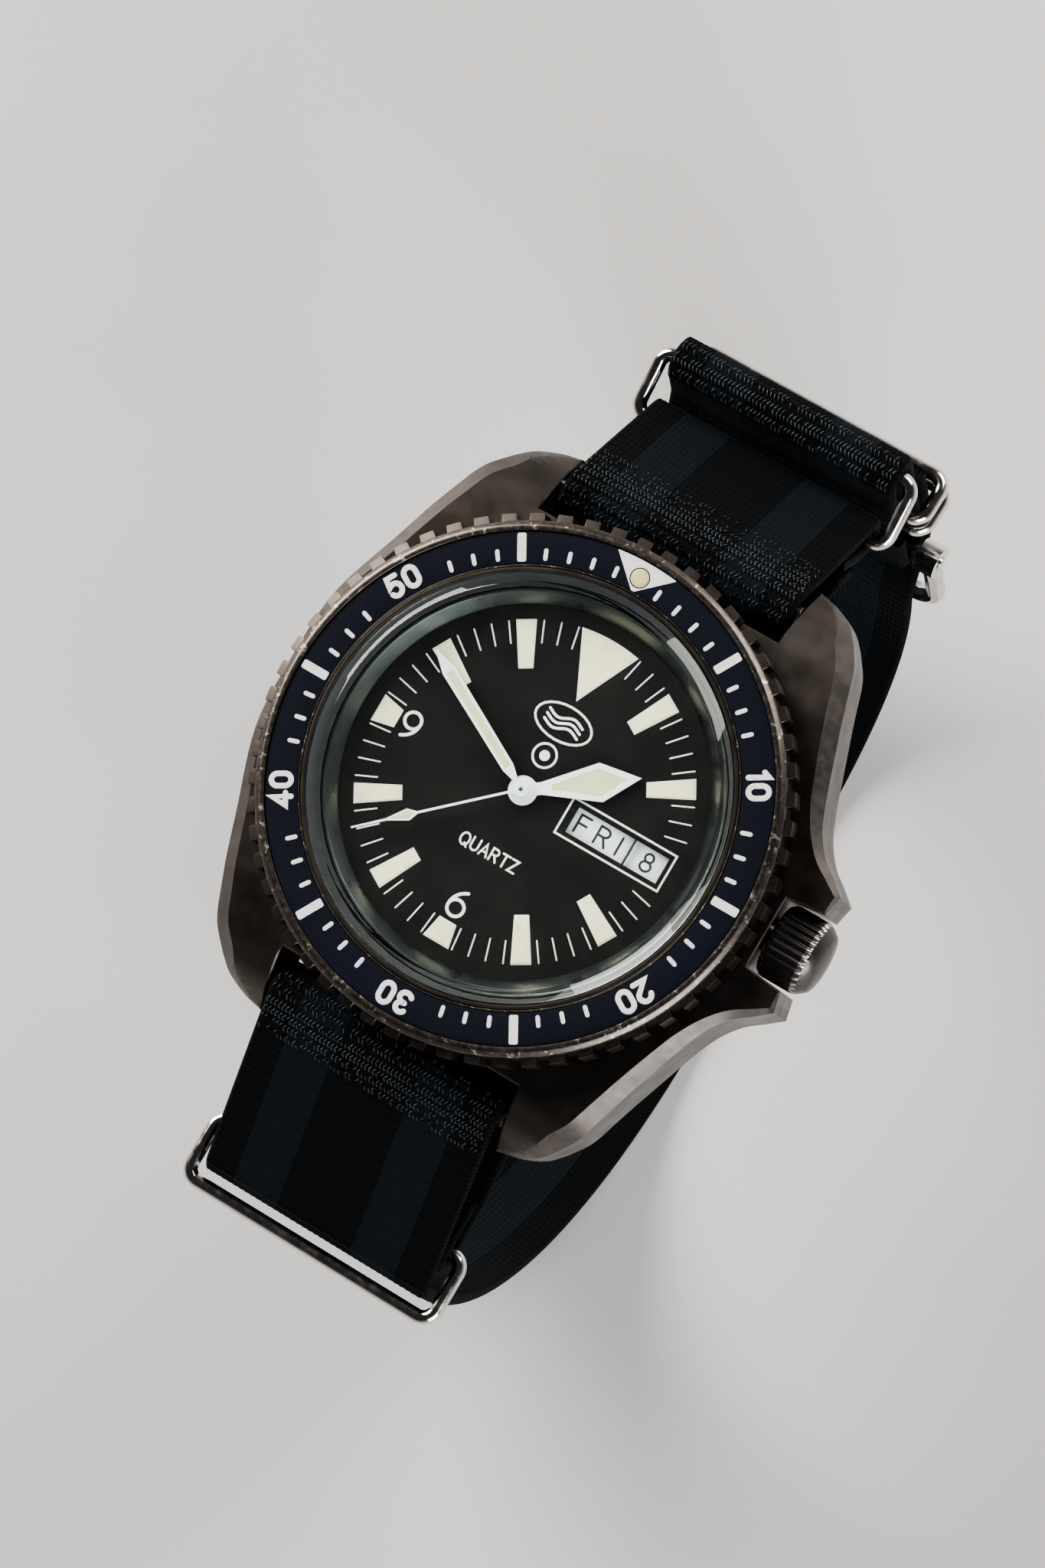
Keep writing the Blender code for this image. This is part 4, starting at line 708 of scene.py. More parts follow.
def grown(outline, by):
    """An outline moved outwards all round."""
    count = len(outline)
    area = sum(outline[i][0] * outline[(i + 1) % count][1] - outline[(i + 1) % count][0] * outline[i][1]
               for i in range(count))
    sign = 1 if area > 0 else -1
    points = []
    for i, here in enumerate(outline):
        here = Vector(here)
        first = (here - Vector(outline[i - 1])).normalized()
        second = (Vector(outline[(i + 1) % count]) - here).normalized()
        normal = Vector((first.y + second.y, -first.x - second.x)) * sign
        normal.normalize()
        reach = by / max(0.35, normal.dot(Vector((first.y, -first.x)) * sign))
        points.append(tuple(here + normal * reach))
    return points


def dial_markers():
    """Outlines of the luminous plots, in place round the dial."""
    plots = [[clock(0, 7.75)] + [clock(a, 12.62) for a in np.linspace(10.4, -10.4, 9)]]
    for hour in (1, 2, 4, 5, 7, 8, 10, 11):
        plots.append(wedge(30 * hour, 9.12, 12.58, 0.94, 1.36))
    for hour in (6, 9):
        plots.append(wedge(30 * hour, 10.95, 12.58, 1.30, 1.98))
    return plots


def make_dial(black, white, cream, dark):
    """Dial plate with raised luminous plots, printed ticks, numerals, emblem and window frame."""
    refined("dial", black, "root", 0.0, name="dial_plate")
    top = DIAL_TOP
    plots = dial_markers()
    lume = joined(*[prism(outline, top + 0.075, top - 0.003, 0.05) for outline in plots])
    add_piece("dial_lume", lume, cream, "root", sharp=25)
    ticks = [radial(6 * m, 10.98, 12.62) for m in range(60) if m % 5 and m not in (1, 59)]
    window = [(3.5, -1.45), (12.26, -1.45), (12.26, 1.45), (3.5, 1.45), (3.5, -1.45)]
    prints = [prism(grown(outline, 0.085), top + 0.02, top - 0.003) for outline in plots]
    prints += [strokes(lines, width, top - 0.002, lift) for lines, width, lift in (
        ([line for line in ticks if not hidden_by_window(line)], 0.115, 0.016),
        (placed_text("6", 2.08, (0, -9.40)), 0.25, 0.02),
        (placed_text("9", 2.08, (-9.85, 0)), 0.25, 0.02),
        (placed_text("QUARTZ", 0.92, (0.05, -5.1), 0.26), 0.155, 0.016),
        ([oval(0, 5.7, 2.30, 1.32), oval(0, 3.0, 0.90, 0.90)], 0.18, 0.016),
        ([wave(0, 6.12), wave(0, 5.70), wave(0, 5.28)], 0.21, 0.016), ([window], 0.16, 0.016))]
    prints.append(prism(oval(0, 3.0, 0.40, 0.40)[:-1], top + 0.014, top - 0.002))
    add_piece("dial_print", joined(*prints), white, "root")
    divider = [(8.93, -1.03), (9.03, -1.03), (9.03, 1.03), (8.93, 1.03)]
    add_piece("window_divider", prism(divider, top - 0.02, top - 0.36), dark, "root")


def wave(x, y):
    """A gentle wave, part of the dial's plain emblem."""
    return [(x + t, y + 0.2 * math.sin(t * 2.6)) for t in np.linspace(-1.45, 1.45, 21)]


def hidden_by_window(line):
    """True for a minute tick that the day-date frame takes the place of."""
    x, y = line[1]
    return x > 0 and abs(y) < 1.5


def placed_text(text, size, at, gap=0.25):
    """Upright lettering about a point of the dial."""
    return [[(x + at[0], y + at[1]) for x, y in points] for points in lettering(text, size, gap)]


def make_calendar(paper, ink):
    """Seven days and thirty-one dates, each upright when it comes to the window."""
    refined("day_disc", paper, "day_disc", 0.0, name="day_wheel")
    refined("date_ring", paper, "date_ring", 0.0, name="date_wheel_print")
    inner, outer, height = 9.02, 12.42, DISC_TOP + 0.012
    sheet = lathe([(inner, DISC_TOP), (outer, DISC_TOP), (outer, height), (inner, height)], 124)
    add_piece("date_paper", sheet, paper, "date_ring")
    days = ("FRI", "SAT", "SUN", "MON", "TUE", "WED", "THU")
    dates = [str((7 + i) % 31 + 1) for i in range(31)]
    for name, body, texts, at, gap, squeeze, width, base in (
            ("day_names", "day_disc", days, 6.36, 0.5, 1.12, 0.20, DISC_TOP - 0.002),
            ("date_figures", "date_ring", dates, 10.45, 0.22, 1.0, 0.19, DISC_TOP + 0.010)):
        lines = []
        for i, text in enumerate(texts):
            narrow = 0.66 if len(text) == 2 else 1.0
            lines += [swung([(x * narrow + at, y) for x, y in points], 360 / len(texts) * i)
                      for points in lettering(text, 1.34, gap, squeeze)]
        add_piece(name, strokes(lines, width, base, 0.014), ink, body)


# ---------------------------------------------------------------- hands
def hand_plate(name, body, half, slot_half, hub, angle, white, glow):
    """A lacquered hand with a slot, the luminous fill in it and its raised hub.

    half and slot_half are right-hand edges from the root to the tip; hub is the radius of the
    round root, where it starts and ends in degrees, and the collar's outer and inner radius."""
    thick = 0.13
    top = span(name)[1].z
    root, start, end, collar, bore = hub
    left = [(-x, y) for x, y in half if x] + [(0, y) for x, y in half if not x]
    outline = arc((0, 0), root, start, end, 26) + left + [p for p in half[::-1] if p[0]]
    slot = [(-x, y) for x, y in slot_half if x] + [p for p in slot_half[::-1]]
    slot = swung(slot, angle)
    parts = [plate_with_hole(swung(outline[::-1], angle), slot, top, top - thick)]
    profile = rounded([(bore, top - thick), (bore, top + 0.07, 0.03), (collar, top + 0.07, 0.05),
                       (collar + 0.02, top - thick)], 0.03)
    parts.append(lathe(profile[::-1], 48))
    bevelled(add_piece(name + "_body", joined(*parts), white, body, name), 0.02)
    slot = grown(slot, 0.01)
    add_piece(name + "_body_lume", prism(slot, top - 0.03, top - thick + 0.02), glow, body)


def make_hands(white, glow, steel):
    for name, body, angle, hub, half, slot in (
            ("hour_hand", "hours", HOUR_ANGLE, (1.1, 65, -245, 0.95, 0.62),
             [(0.45, 1.35), (1.45, 5.81), (0, 8.8)],
             [(0.16, 2.15), (1.02, 5.72), (0, 7.75)]),
            ("minute_hand", "minutes", MINUTE_ANGLE, (0.85, 65, -245, 0.72, 0.44),
             [(0.20, 0.95), (0.45, 1.95), (0.53, 10.5), (0, 12.5)],
             [(0.24, 2.0), (0.30, 10.35)]),
            ("seconds_hand", "seconds", SECONDS_ANGLE, (0.6, 80, -260, 0.56, 0.2),
             [(0.085, 0.8), (0.085, 7.85), (0.45, 8.55), (0.085, 10.2), (0.06, 12.9)],
             [(0.05, 8.15), (0.31, 8.58), (0.03, 9.9)])):
        hand_plate(name, body, half, slot, hub, angle, white, glow)
    top, reach = span("seconds_hand")[1].z, 0.17
    profile = rounded([(0, top + 0.10), (reach, top + 0.10, 0.05), (reach, top - 0.1), (0, top - 0.1)],
                      0.03, 3, False)
    add_piece("centre_pin", lathe(profile, 24, closed=False), steel, "seconds")


# ---------------------------------------------------------------- case
def smooth_loop(corners, per_span=7):
    """A closed outline through corners; ones marked sharp end their curves."""
    points = []
    count = len(corners)
    for i in range(count):
        here, after = corners[i], corners[(i + 1) % count]
        before, beyond = corners[i - 1], corners[(i + 2) % count]
        p1, p2 = Vector(here[:2]), Vector(after[:2])
        m1 = (p2 - Vector(before[:2])) / 2 if not here[2] else (p2 - p1)
        m2 = (Vector(beyond[:2]) - p1) / 2 if not after[2] else (p2 - p1)
        limit = (p2 - p1).length
        m1 = m1.normalized() * min(m1.length, limit)
        m2 = m2.normalized() * min(m2.length, limit)
        for k in range(per_span):
            t = k / per_span
            a, b = 2 * t ** 3 - 3 * t ** 2 + 1, t ** 3 - 2 * t ** 2 + t
            c, d = 3 * t ** 2 - 2 * t ** 3, t ** 3 - t ** 2
            point = p1 * a + m1 * b + p2 * c + m2 * d
            share = here[3] + (after[3] - here[3]) * t
            points.append((point.x, point.y, share))
    return points


def case_corners():
    """Case outline, counter-clockwise from the 3 o'clock side: x, y, sharp, chamfer width."""
    side, tip, inner = CASE_SIDE, LUG_TIP, 10.4
    half_crest = 4.8
    guard = side + 3.0
    lug = [(inner + 6.5, 17.45, 0, 1.15), (inner + 5.6, 19.85, 0, 1.2), (inner + 4.4, 21.55, 1, 1.2),
           (inner + 3.3, 22.65, 0, 0.8), (inner + 1.7, tip - 0.40, 0, 0.35), (inner, tip, 1, 0.12),
           (inner, 18.75, 1, 0.12)]
    crown = [(side - 0.4, 0.0, 0, 0.1), (side - 0.4, 2.9, 1, 0.1), (guard - 0.35, 3.2, 1, 0.12),
             (guard, half_crest, 1, 0.35), (side + 1.9, half_crest + 0.9, 0, 0.5),
             (side + 0.5, half_crest + 2.0, 0, 0.65), (side - 0.7, half_crest + 3.6, 0, 0.8),
             (side - 1.6, half_crest + 5.6, 0, 1.0), (side - 2.6, half_crest + 8.4, 0, 1.1)]
    upper = crown + lug
    left = [(-x, y, sharp, width) for x, y, sharp, width in lug[::-1]]
    left += [(-(side - 2.35), 12.15, 0, 1.0), (-(side - 0.3), 5.75, 0, 0.75), (-side, 0.0, 0, 0.7)]
    top = upper + left
    bottom = [(x, -y, sharp, width) for x, y, sharp, width in top[1:-1]][::-1]
    return top + bottom


def deck_height(y):
    """Height of the case's top, curving down over the lugs."""
    steps = [(15.15, 0), (19.15, -0.75), (LUG_TIP - 1.8, -2.6), (LUG_TIP - 0.35, -4.5), (LUG_TIP, -5.3)]
    return DECK_Z + along_steps(abs(y), steps)


def belly_height(y):
    """Height of the case's underside, which follows the lugs down."""
    steps = [(16.15, 0), (20.45, -0.75), (LUG_TIP - 0.7, -1.0), (LUG_TIP, -0.4)]
    return BELLY_Z + along_steps(abs(y), steps)


def along_steps(y, steps):
    """A smoothed value between (y, height) steps."""
    return sum(np.interp(y + shift, *zip(*steps)) for shift in (-0.7, -0.35, 0.0, 0.35, 0.7)) / 5


def inward_normals(loop):
    """Unit normals into a counter-clockwise outline."""
    normals = []
    count = len(loop)
    for i in range(count):
        before, after = Vector(loop[i - 1][:2]), Vector(loop[(i + 1) % count][:2])
        along = (after - before).normalized()
        normals.append(Vector((-along.y, along.x)))
    return normals


def filled(work, loop, circle):
    """Fill between an outline and a round hole."""
    edges = []
    for ring in (loop, circle):
        edges += [work.edges.get((a, b)) or work.edges.new((a, b))
                  for a, b in zip(ring, ring[1:] + ring[:1])]
    bmesh.ops.triangle_fill(work, edges=edges, use_beauty=True)


def make_case(steel, bright):
    """Shaped case: curved deck, worn chamfer, plain sides, neck and bore."""
    loop = smooth_loop(case_corners())
    normals = inward_normals(loop)
    work = bmesh.new()
    top, belly = DECK_Z, BELLY_Z
    under = 0.45

    def ring_at(inset_of, z):
        return [work.verts.new((x + n.x * inset_of(w), y + n.y * inset_of(w), z(w)))
                for (x, y, w), n in zip(loop, normals)]

    rings = [ring_at(lambda w: w, lambda w: top), ring_at(lambda w: 0.0, lambda w: top - 0.85 * w - 0.02),
             ring_at(lambda w: 0.0, lambda w: belly + under),
             ring_at(lambda w: min(under, 0.6 * w + 0.1), lambda w: belly)]
    chamfer = []
    for upper, lower in zip(rings, rings[1:]):
        for i in range(len(loop)):
            j = (i + 1) % len(loop)
            face = work.faces.new((upper[i], lower[i], lower[j], upper[j]))
            if upper is rings[0]:
                chamfer.append(face)
    segments = 180
    neck, seat, throat = 17.0, 16.25, 15.95
    for ring, radius, z in ((rings[0], neck, top), (rings[3], seat, belly)):
        filled(work, ring, [work.verts.new((*clock(360 * i / segments, radius), z))
                            for i in range(segments)])
    for face in chamfer:
        face.material_index = 1
    for y in np.arange(15.0, LUG_TIP, 0.45):
        for side in (-1, 1):
            geometry = work.verts[:] + work.edges[:] + work.faces[:]
            bmesh.ops.bisect_plane(work, geom=geometry, plane_co=(0, side * y, 0), plane_no=(0, 1, 0))
    middle = (top + belly) / 2
    for vert in work.verts:
        y, z = vert.co.y, vert.co.z
        if z > middle:
            vert.co.z = z - top + deck_height(y)
        else:
            vert.co.z = z - belly + belly_height(y)
    profile = rounded([(neck, -0.95), (seat, -0.95), (seat, 0.02), (throat, 0.02), (throat, -2.0),
                       (BORE, -2.0), (BORE, -9.4), (seat, -9.4)], 0.04)
    profile = [(neck, top)] + profile + [(seat, belly)]
    columns = []
    for i in range(segments):
        column = [work.verts.new((*clock(360 * i / segments, r), z)) for r, z in profile]
        column[0].co.z = deck_height(column[0].co.y)
        column[-1].co.z = belly_height(column[-1].co.y)
        columns.append(column)
    for i in range(segments):
        near, far = columns[i], columns[(i + 1) % segments]
        for k in range(len(profile) - 1):
            work.faces.new((near[k], near[k + 1], far[k + 1], far[k]))
    bmesh.ops.remove_doubles(work, verts=work.verts, dist=1e-4)
    bmesh.ops.recalc_face_normals(work, faces=work.faces)
    mesh = bpy.data.meshes.new("case_body")
    to_world = Matrix.Translation((0, 0, HEAD)) @ Matrix.Scale(MM, 4)
    bmesh.ops.transform(work, matrix=to_world, verts=work.verts)
    work.to_mesh(mesh)
    work.free()
    case = finish_piece("case_body", mesh, [steel, bright], "root", "case", 28)
    drilled(case, 1.34, BORE - 1, CASE_SIDE + 2, CROWN_Z)
    bevelled(case, 0.07, 2, 32)


def drilled(obj, radius, start, end, height):
    """Cut a round hole along X through an object, at y = 0."""
    work = bmesh.new()
    centre = Vector(((start + end) / 2 * MM, 0, height * MM + HEAD))
    bmesh.ops.create_cone(work, cap_ends=True, segments=48, radius1=radius * MM, radius2=radius * MM,
                          depth=(end - start) * MM,
                          matrix=Matrix.Translation(centre) @ Matrix.Rotation(math.pi / 2, 4, "Y"))
    mesh = bpy.data.meshes.new("drill")
    work.to_mesh(mesh)
    work.free()
    cutter = put("drill", mesh)
    made = obj.modifiers.new("hole", "BOOLEAN")
    made.object, made.operation, made.solver = cutter, "DIFFERENCE", "EXACT"
    result = evaluated(obj)
    obj.modifiers.clear()
    obj.data = result
    bpy.data.objects.remove(cutter)


def make_crown(steel, bright):
    """Fluted crown with a domed end, and a band at the flute tips painted bright as their glints."""
    start, end = CROWN_LOW.x, CROWN_HIGH.x
    outer = CROWN_RADIUS
    barrel = end - 1.1
    flutes = 30

    def reach(radius, x, angle):
        if start + 0.25 <= x <= barrel - 0.05 and radius > 0.88 * outer:
            wave_at = math.cos(angle * flutes)
            return radius - 0.07 * outer * (0.5 - 0.5 * math.copysign(abs(wave_at) ** 0.6, wave_at))
        return radius
    profile = [(0, end)]
    profile += [(0.80 * outer * math.sin(a), end - 0.42 + 0.42 * math.cos(a))
                for a in np.linspace(0.2, 1.35, 6)]
    profile += [(share * outer, barrel + up)
                for share, up in ((0.90, 0.35), (0.955, 0.12), (0.99, -0.1), (1, -0.3), (1, -1.2))]
    profile += [(share * outer, start + up)
                for share, up in ((1, 0.55), (0.985, 0.3), (0.92, 0.12), (0.9, 0))]
    tube_bore, stem_bore = 1.75, 0.61
    profile += [(tube_bore, start), (tube_bore, start + 2.2), (stem_bore, start + 2.2),
                (stem_bore, start + 3.2), (0, start + 3.2)]
    shape = lathe(profile, flutes * 10, closed=False, radius_of=reach, axis="x", centre=(0, 0, CROWN_Z))
    crown = add_piece("crown_body", shape, [steel, bright], "crown", "crown", 40)
    # painted glint: the faces round the flute tips take the much lighter steel
    for face in crown.data.polygons:
        reach_out = math.hypot(face.center.y, face.center.z - HEAD - CROWN_Z * MM) / MM
        if barrel - 0.25 < face.center.x / MM < barrel + 0.2 and reach_out > 0.9 * outer:
            face.material_index = 1


def make_back(steel):
    """Screw-in caseback with its key notches, from the CAD shape, and turned grooves."""
    refined("caseback", steel, "root", 0.08, 3, "caseback_body")
    grooves = []
    for radius in (11.2, 11.9):
        section = [(radius + 0.12 * math.cos(a), BACK_Z + 0.005 - 0.05 * math.sin(a))
                   for a in np.linspace(0, math.pi, 7)]
        grooves.append(lathe(section, 120))
    add_piece("caseback_rings", joined(*grooves), steel, "root")


# ---------------------------------------------------------------- strap
def unit(angle):
    """A direction in the (y, z) plane; the angle is in degrees from +Y."""
    return (math.cos(math.radians(angle)), math.sin(math.radians(angle)))


def shifted(point, *moves):
    """A (y, z) point moved by some (distance, direction)."""
    y, z = point
    for distance, (dy, dz) in moves:
        y, z = y + distance * dy, z + distance * dz
    return (y, z)


def tangent_arcs(first, first_radius, second, second_radius):
    """Angle of the outward normal of the line that runs over both circles' same side."""
    (y0, z0), (y1, z1) = first, second
    reach = math.hypot(y1 - y0, z1 - z0)
    along = math.atan2(z1 - z0, y1 - y0)
    lean = math.asin((first_radius - second_radius) / reach)
    side = 1 if y1 > y0 else -1
    return math.degrees(along + side * (math.pi / 2 - lean)) % 360


def bezier(start, start_handle, end_handle, end, count):
    points = []
    for i in range(1, count + 1):
        t = i / count
        u = 1 - t
        weights = (u ** 3, 3 * u * u * t, 3 * u * t * t, t ** 3)
        corners = (start, start_handle, end_handle, end)
        points.append(tuple(sum(w * c[k] for w, c in zip(weights, corners)) for k in (0, 1)))
    return points


SLIP = 0.05
WRAP = STRAP_THICKNESS / 2 + SLIP
UNDER_Z = BACK_Z - 0.15 - STRAP_THICKNESS / 2
REST_Z = LOOP_BASE + STRAP_THICKNESS / 2
STRAP_MIDDLE = WIRE + WRAP
RING12_LOW, RING12_HIGH = span("ring_12")
RING12_NEAR = (RING12_LOW.y + WIRE, RING12_LOW.z + WIRE)
RING12_FAR = (RING12_HIGH.y - WIRE, RING12_HIGH.z - WIRE)
RING6_LOW, RING6_HIGH = span("ring_6")
RING6_NEAR = (RING6_HIGH.y - WIRE, RING6_HIGH.z - WIRE)
RING6_FAR = (RING6_LOW.y + WIRE, RING6_LOW.z + WIRE)
HANG_6 = RING6_NEAR[0] - STRAP_MIDDLE - STRAP_THICKNESS - 1.07
BUCKLE_LOW, BUCKLE_HIGH = span("buckle_bar")
BUCKLE_BAR = ((BUCKLE_LOW.y + BUCKLE_HIGH.y) / 2, (BUCKLE_LOW.z + BUCKLE_HIGH.z) / 2)
BUCKLE_TILT, BUCKLE_LENGTH = 15.0, 11.0
TAIL_LENGTH = 12.0
HOLE_SPACING = 6.0
LOOP_FLAT = 9.0


def buckle_point(down, out):
    """A point in the buckle's frame: down along the strap, out from the wrist."""
    tilt = math.radians(BUCKLE_TILT)
    return (BUCKLE_BAR[0] - down * math.sin(tilt) + out * math.cos(tilt),
            BUCKLE_BAR[1] - down * math.cos(tilt) - out * math.sin(tilt))


def run_normal():
    """Outward normal, in degrees, of the strap's run from the 12 ring to the buckle bar."""
    y, z = buckle_point(0, 0)
    return math.degrees(math.atan2(z - RING12_FAR[1], y - RING12_FAR[0])) + 90


def long_strap_path():
    """Middle line of the long strap, from its sewn tab to its tail, as the CAD solid runs.

    Returns it with the index of the point where the tongue goes through."""
    bar12, bar6 = (BAR_Y, BAR_Z), (-BAR_Y, BAR_Z)
    round_bar = BAR_RADIUS + WRAP
    leave = tangent_arcs(bar12, round_bar, RING12_NEAR, STRAP_MIDDLE)
    tab = shifted(RING12_NEAR, (STRAP_MIDDLE, unit(leave - 180)))
    path = [shifted(tab, (4.5, unit(leave + 90)), (0.9, unit(leave))),
            shifted(tab, (1.2, unit(leave + 90)), (0.1, unit(leave)))]
    path += arc(RING12_NEAR, STRAP_MIDDLE, leave - 180, leave, 20)
    path += arc(bar12, round_bar, leave, 180, 18)
    turn = 2.6
    inner = BAR_Y - round_bar - turn
    path += arc((inner, UNDER_Z + turn), turn, 0, -90, 12)
    path += arc((-inner, UNDER_Z + turn), turn, -90, -180, 12)
    corner = (HANG_6 + 1.3, RING6_NEAR[1] + 0.2)
    leave = tangent_arcs(bar6, round_bar, corner, 1.3)
    path += arc(bar6, round_bar, 0, leave, 14)
    path += arc(corner, 1.3, leave, 180, 10)
    path += bezier(path[-1], (HANG_6 - 2.2, path[-1][1] - 26), (-LOOP_FLAT - 18, REST_Z),
                   (-LOOP_FLAT, REST_Z), 28)
    path.append((LOOP_FLAT, REST_Z))
    low = -0.25
    high = STRAP_MIDDLE + STRAP_THICKNESS + 0.1
    cross = BUCKLE_LENGTH
    path += bezier(path[-1], (LOOP_FLAT + 12, REST_Z), buckle_point(cross + 9, low),
                   buckle_point(cross, low), 18)
    through = len(path) + 8
    path += bezier(path[-1], buckle_point(cross - 4.5, low), buckle_point(4.5, high),
                   buckle_point(0, high), 16)
    normal = run_normal()
    path += arc(buckle_point(0, 0), high, -BUCKLE_TILT, normal, 6)[1:]
    path.append(shifted(path[-1], (TAIL_LENGTH, unit(normal + 90))))
    return path, through


def run_lengths(path):
    """The running length at each point of a path."""
    steps = [math.hypot(b[0] - a[0], b[1] - a[1]) for a, b in zip(path, path[1:])]
    return [0.0, *np.cumsum(steps).tolist()]


def resampled(path, step):
    """The path at even steps, with the running length of each point."""
    lengths = run_lengths(path)
    at = np.linspace(0, lengths[-1], max(2, round(lengths[-1] / step)) + 1)
    return list(zip(*(np.interp(at, lengths, [p[k] for p in path]) for k in (0, 1)))), list(at)


RIB_PITCH = 0.8
THREAD_STEP = 0.05


def strap_piece(node, path, thickness, material, step, columns, holes=()):
    """A woven band: crowned edges, cross ribs as real relief, a run attribute for its weave.

    holes are (running length, radius)."""
    middle, lengths = resampled(path, step)
    line, run = np.array(middle), np.array(lengths)
    count, around = len(middle), 2 * (columns + 1)

    def steps(reach):
        """From each point, the way from some points before and to as many after."""
        padded = np.pad(line, ((reach, reach), (0, 0)), "edge")
        return line - padded[:count], padded[2 * reach:] - line

    into, out = steps(3)
    turn = np.arctan2(out[:, 1], out[:, 0]) - np.arctan2(into[:, 1], into[:, 0])
    turn = np.abs((turn + math.pi) % (2 * math.pi) - math.pi)
    strong = 0.35 + np.minimum(0.65, turn * 3.0)[:, None]
    along = sum(steps(1))
    along = along / np.hypot(*along.T)[:, None]
    half_width, rim = STRAP_WIDTH / 2, 0.35
    xs = np.linspace(-half_width, half_width, columns + 1)
    xs = np.concatenate((xs, xs[::-1]))
    edge = np.maximum(0.0, (np.abs(xs) - (half_width - rim)) / rim)
    thin = thickness / 2 * np.sqrt(np.maximum(0.0, 1 - 0.86 * edge ** 2))
    phase = 2 * math.pi * run[:, None] / RIB_PITCH
    ridge = 0.5 + 0.5 * np.cos(phase)
    loops = 0.5 + 0.5 * np.sin(2 * math.pi * xs / 0.52 + phase * 0.5)
    relief = strong * (0.10 * ridge ** 1.5 + 0.035 * loops * ridge) * (1 - edge)
    lift = np.repeat((1, -1), columns + 1) * (thin - 0.11 + relief)
    verts = np.stack((np.broadcast_to(xs, lift.shape), line[:, :1] - along[:, 1:] * lift,
                      line[:, 1:] + along[:, :1] * lift), -1).reshape(-1, 3)
    across, between = (xs + np.roll(xs, -1)) / 2, (run[:-1] + run[1:])[:, None] / 2
    kept = np.ones((count - 1, around), bool)
    for at, radius in holes:
        kept &= np.hypot(across, between - at) >= radius
    faces = [quad[:1] + quad[:0:-1] for quad, keep in zip(tube(count, around), kept.ravel()) if keep]
    faces += [list(range(around)), list(range((count - 1) * around, count * around))[::-1]]
    mesh = bpy.data.meshes.new(node + "_weave")
    mesh.from_pydata(world(verts.tolist()), [], faces)
    attribute = mesh.attributes.new("run", "FLOAT", "POINT")
    attribute.data.foreach_set("value", np.repeat(run, around).astype(np.float32))
    mesh.materials.append(material)
    mesh.shade_smooth()
    obj = put(node + "_weave", mesh)
    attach(obj, "root")
    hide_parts(node)


def heading_at(middle, index):
    """Unit tangent of a path at one of its inner points."""
    (y0, z0), (y1, z1) = middle[index - 1], middle[index + 1]
    size = math.hypot(y1 - y0, z1 - z0)
    return (y1 - y0) / size, (z1 - z0) / size


def hole_rims(path, holes, material):
    """Heat-sealed rims of the holes punched through the strap."""
    middle, lengths = resampled(path, 0.1)
    half = STRAP_THICKNESS / 2
    parts = []
    for at, radius in holes:
        index = min(len(middle) - 2, max(1, int(np.searchsorted(lengths, at))))
        ty, tz = heading_at(middle, index)
        y, z = (np.interp(at, lengths, [p[k] for p in middle]) for k in (0, 1))
        inner, outer = radius - 0.12, radius + 0.30
        profile = rounded([(inner, half - 0.05), (outer, half + 0.05), (outer, -half - 0.05),
                           (inner, 0.05 - half)], 0.16, 4)
        verts, faces = lathe(profile, 36)
        parts.append(([(x, y + s * ty - n * tz, z + s * tz + n * ty) for x, s, n in verts], faces))
    add_piece("long_strap_hole_rims", joined(*parts), material, "root", sharp=50)


def thread_rows(name, path, outward, spans, material):
    """Rows of small slanted thread loops on the ribs inside some (y, y, least z) spans; their light colour
    paints the highlights on the bends.
    """
    middle, lengths = resampled(path, THREAD_STEP)
    end = STRAP_WIDTH / 2 - 0.35
    parts = []
    for low_y, high_y, least_z in spans:
        inside = [i for i, (y, z) in enumerate(middle) if low_y <= y <= high_y and z >= least_z]
        if not inside:
            continue
        first, last = lengths[inside[0]], lengths[inside[-1]]
        rib = math.ceil(first / RIB_PITCH)
        while rib * RIB_PITCH <= last:
            for side in (-1, 1):
                centre = rib * RIB_PITCH + side * 0.15
                share = (centre - first) / (last - first)
                strength = max(0.2, 1 - abs(share - 0.5) * 1.7)
                x = 0.1 * random.random() - end
                while x < end:
                    if random.random() < 0.25 + 0.75 * strength:
                        parts.append(thread_loop(middle, x, centre, side, outward,
                                                 0.030 + 0.034 * strength))
                    x += 0.31 + 0.05 * random.random()
            rib += 1
    add_piece(name, joined(*parts), material, "root", sharp=80)


def thread_loop(middle, x, centre, slant, outward, radius):
    """One thread loop: a short arched tube lying across a rib's flank."""
    verts = []
    stations, sides = 5, 5
    for t in np.linspace(-1, 1, stations).tolist():
        along = (centre + 0.15 * t) / THREAD_STEP
        index = min(len(middle) - 2, max(1, int(along)))
        ty, tz = heading_at(middle, index)
        extra = (along - int(along)) * THREAD_STEP
        y, z = middle[index][0] + ty * extra, middle[index][1] + tz * extra
        lift = STRAP_THICKNESS / 2 - 0.02 + 0.085 * (1 - t * t)
        thin = radius * math.sqrt(max(0.12, 1 - t * t * 0.88))
        for cos, sin in unit_circle(sides):
            reach = outward * (lift + sin * thin)
            verts.append((x + 0.09 * slant * t + cos * thin, y - tz * reach, z + ty * reach))
    faces = tube(stations, sides)
    faces += [list(range(sides)), [stations * sides - 1 - m for m in range(sides)]]
    return verts, faces


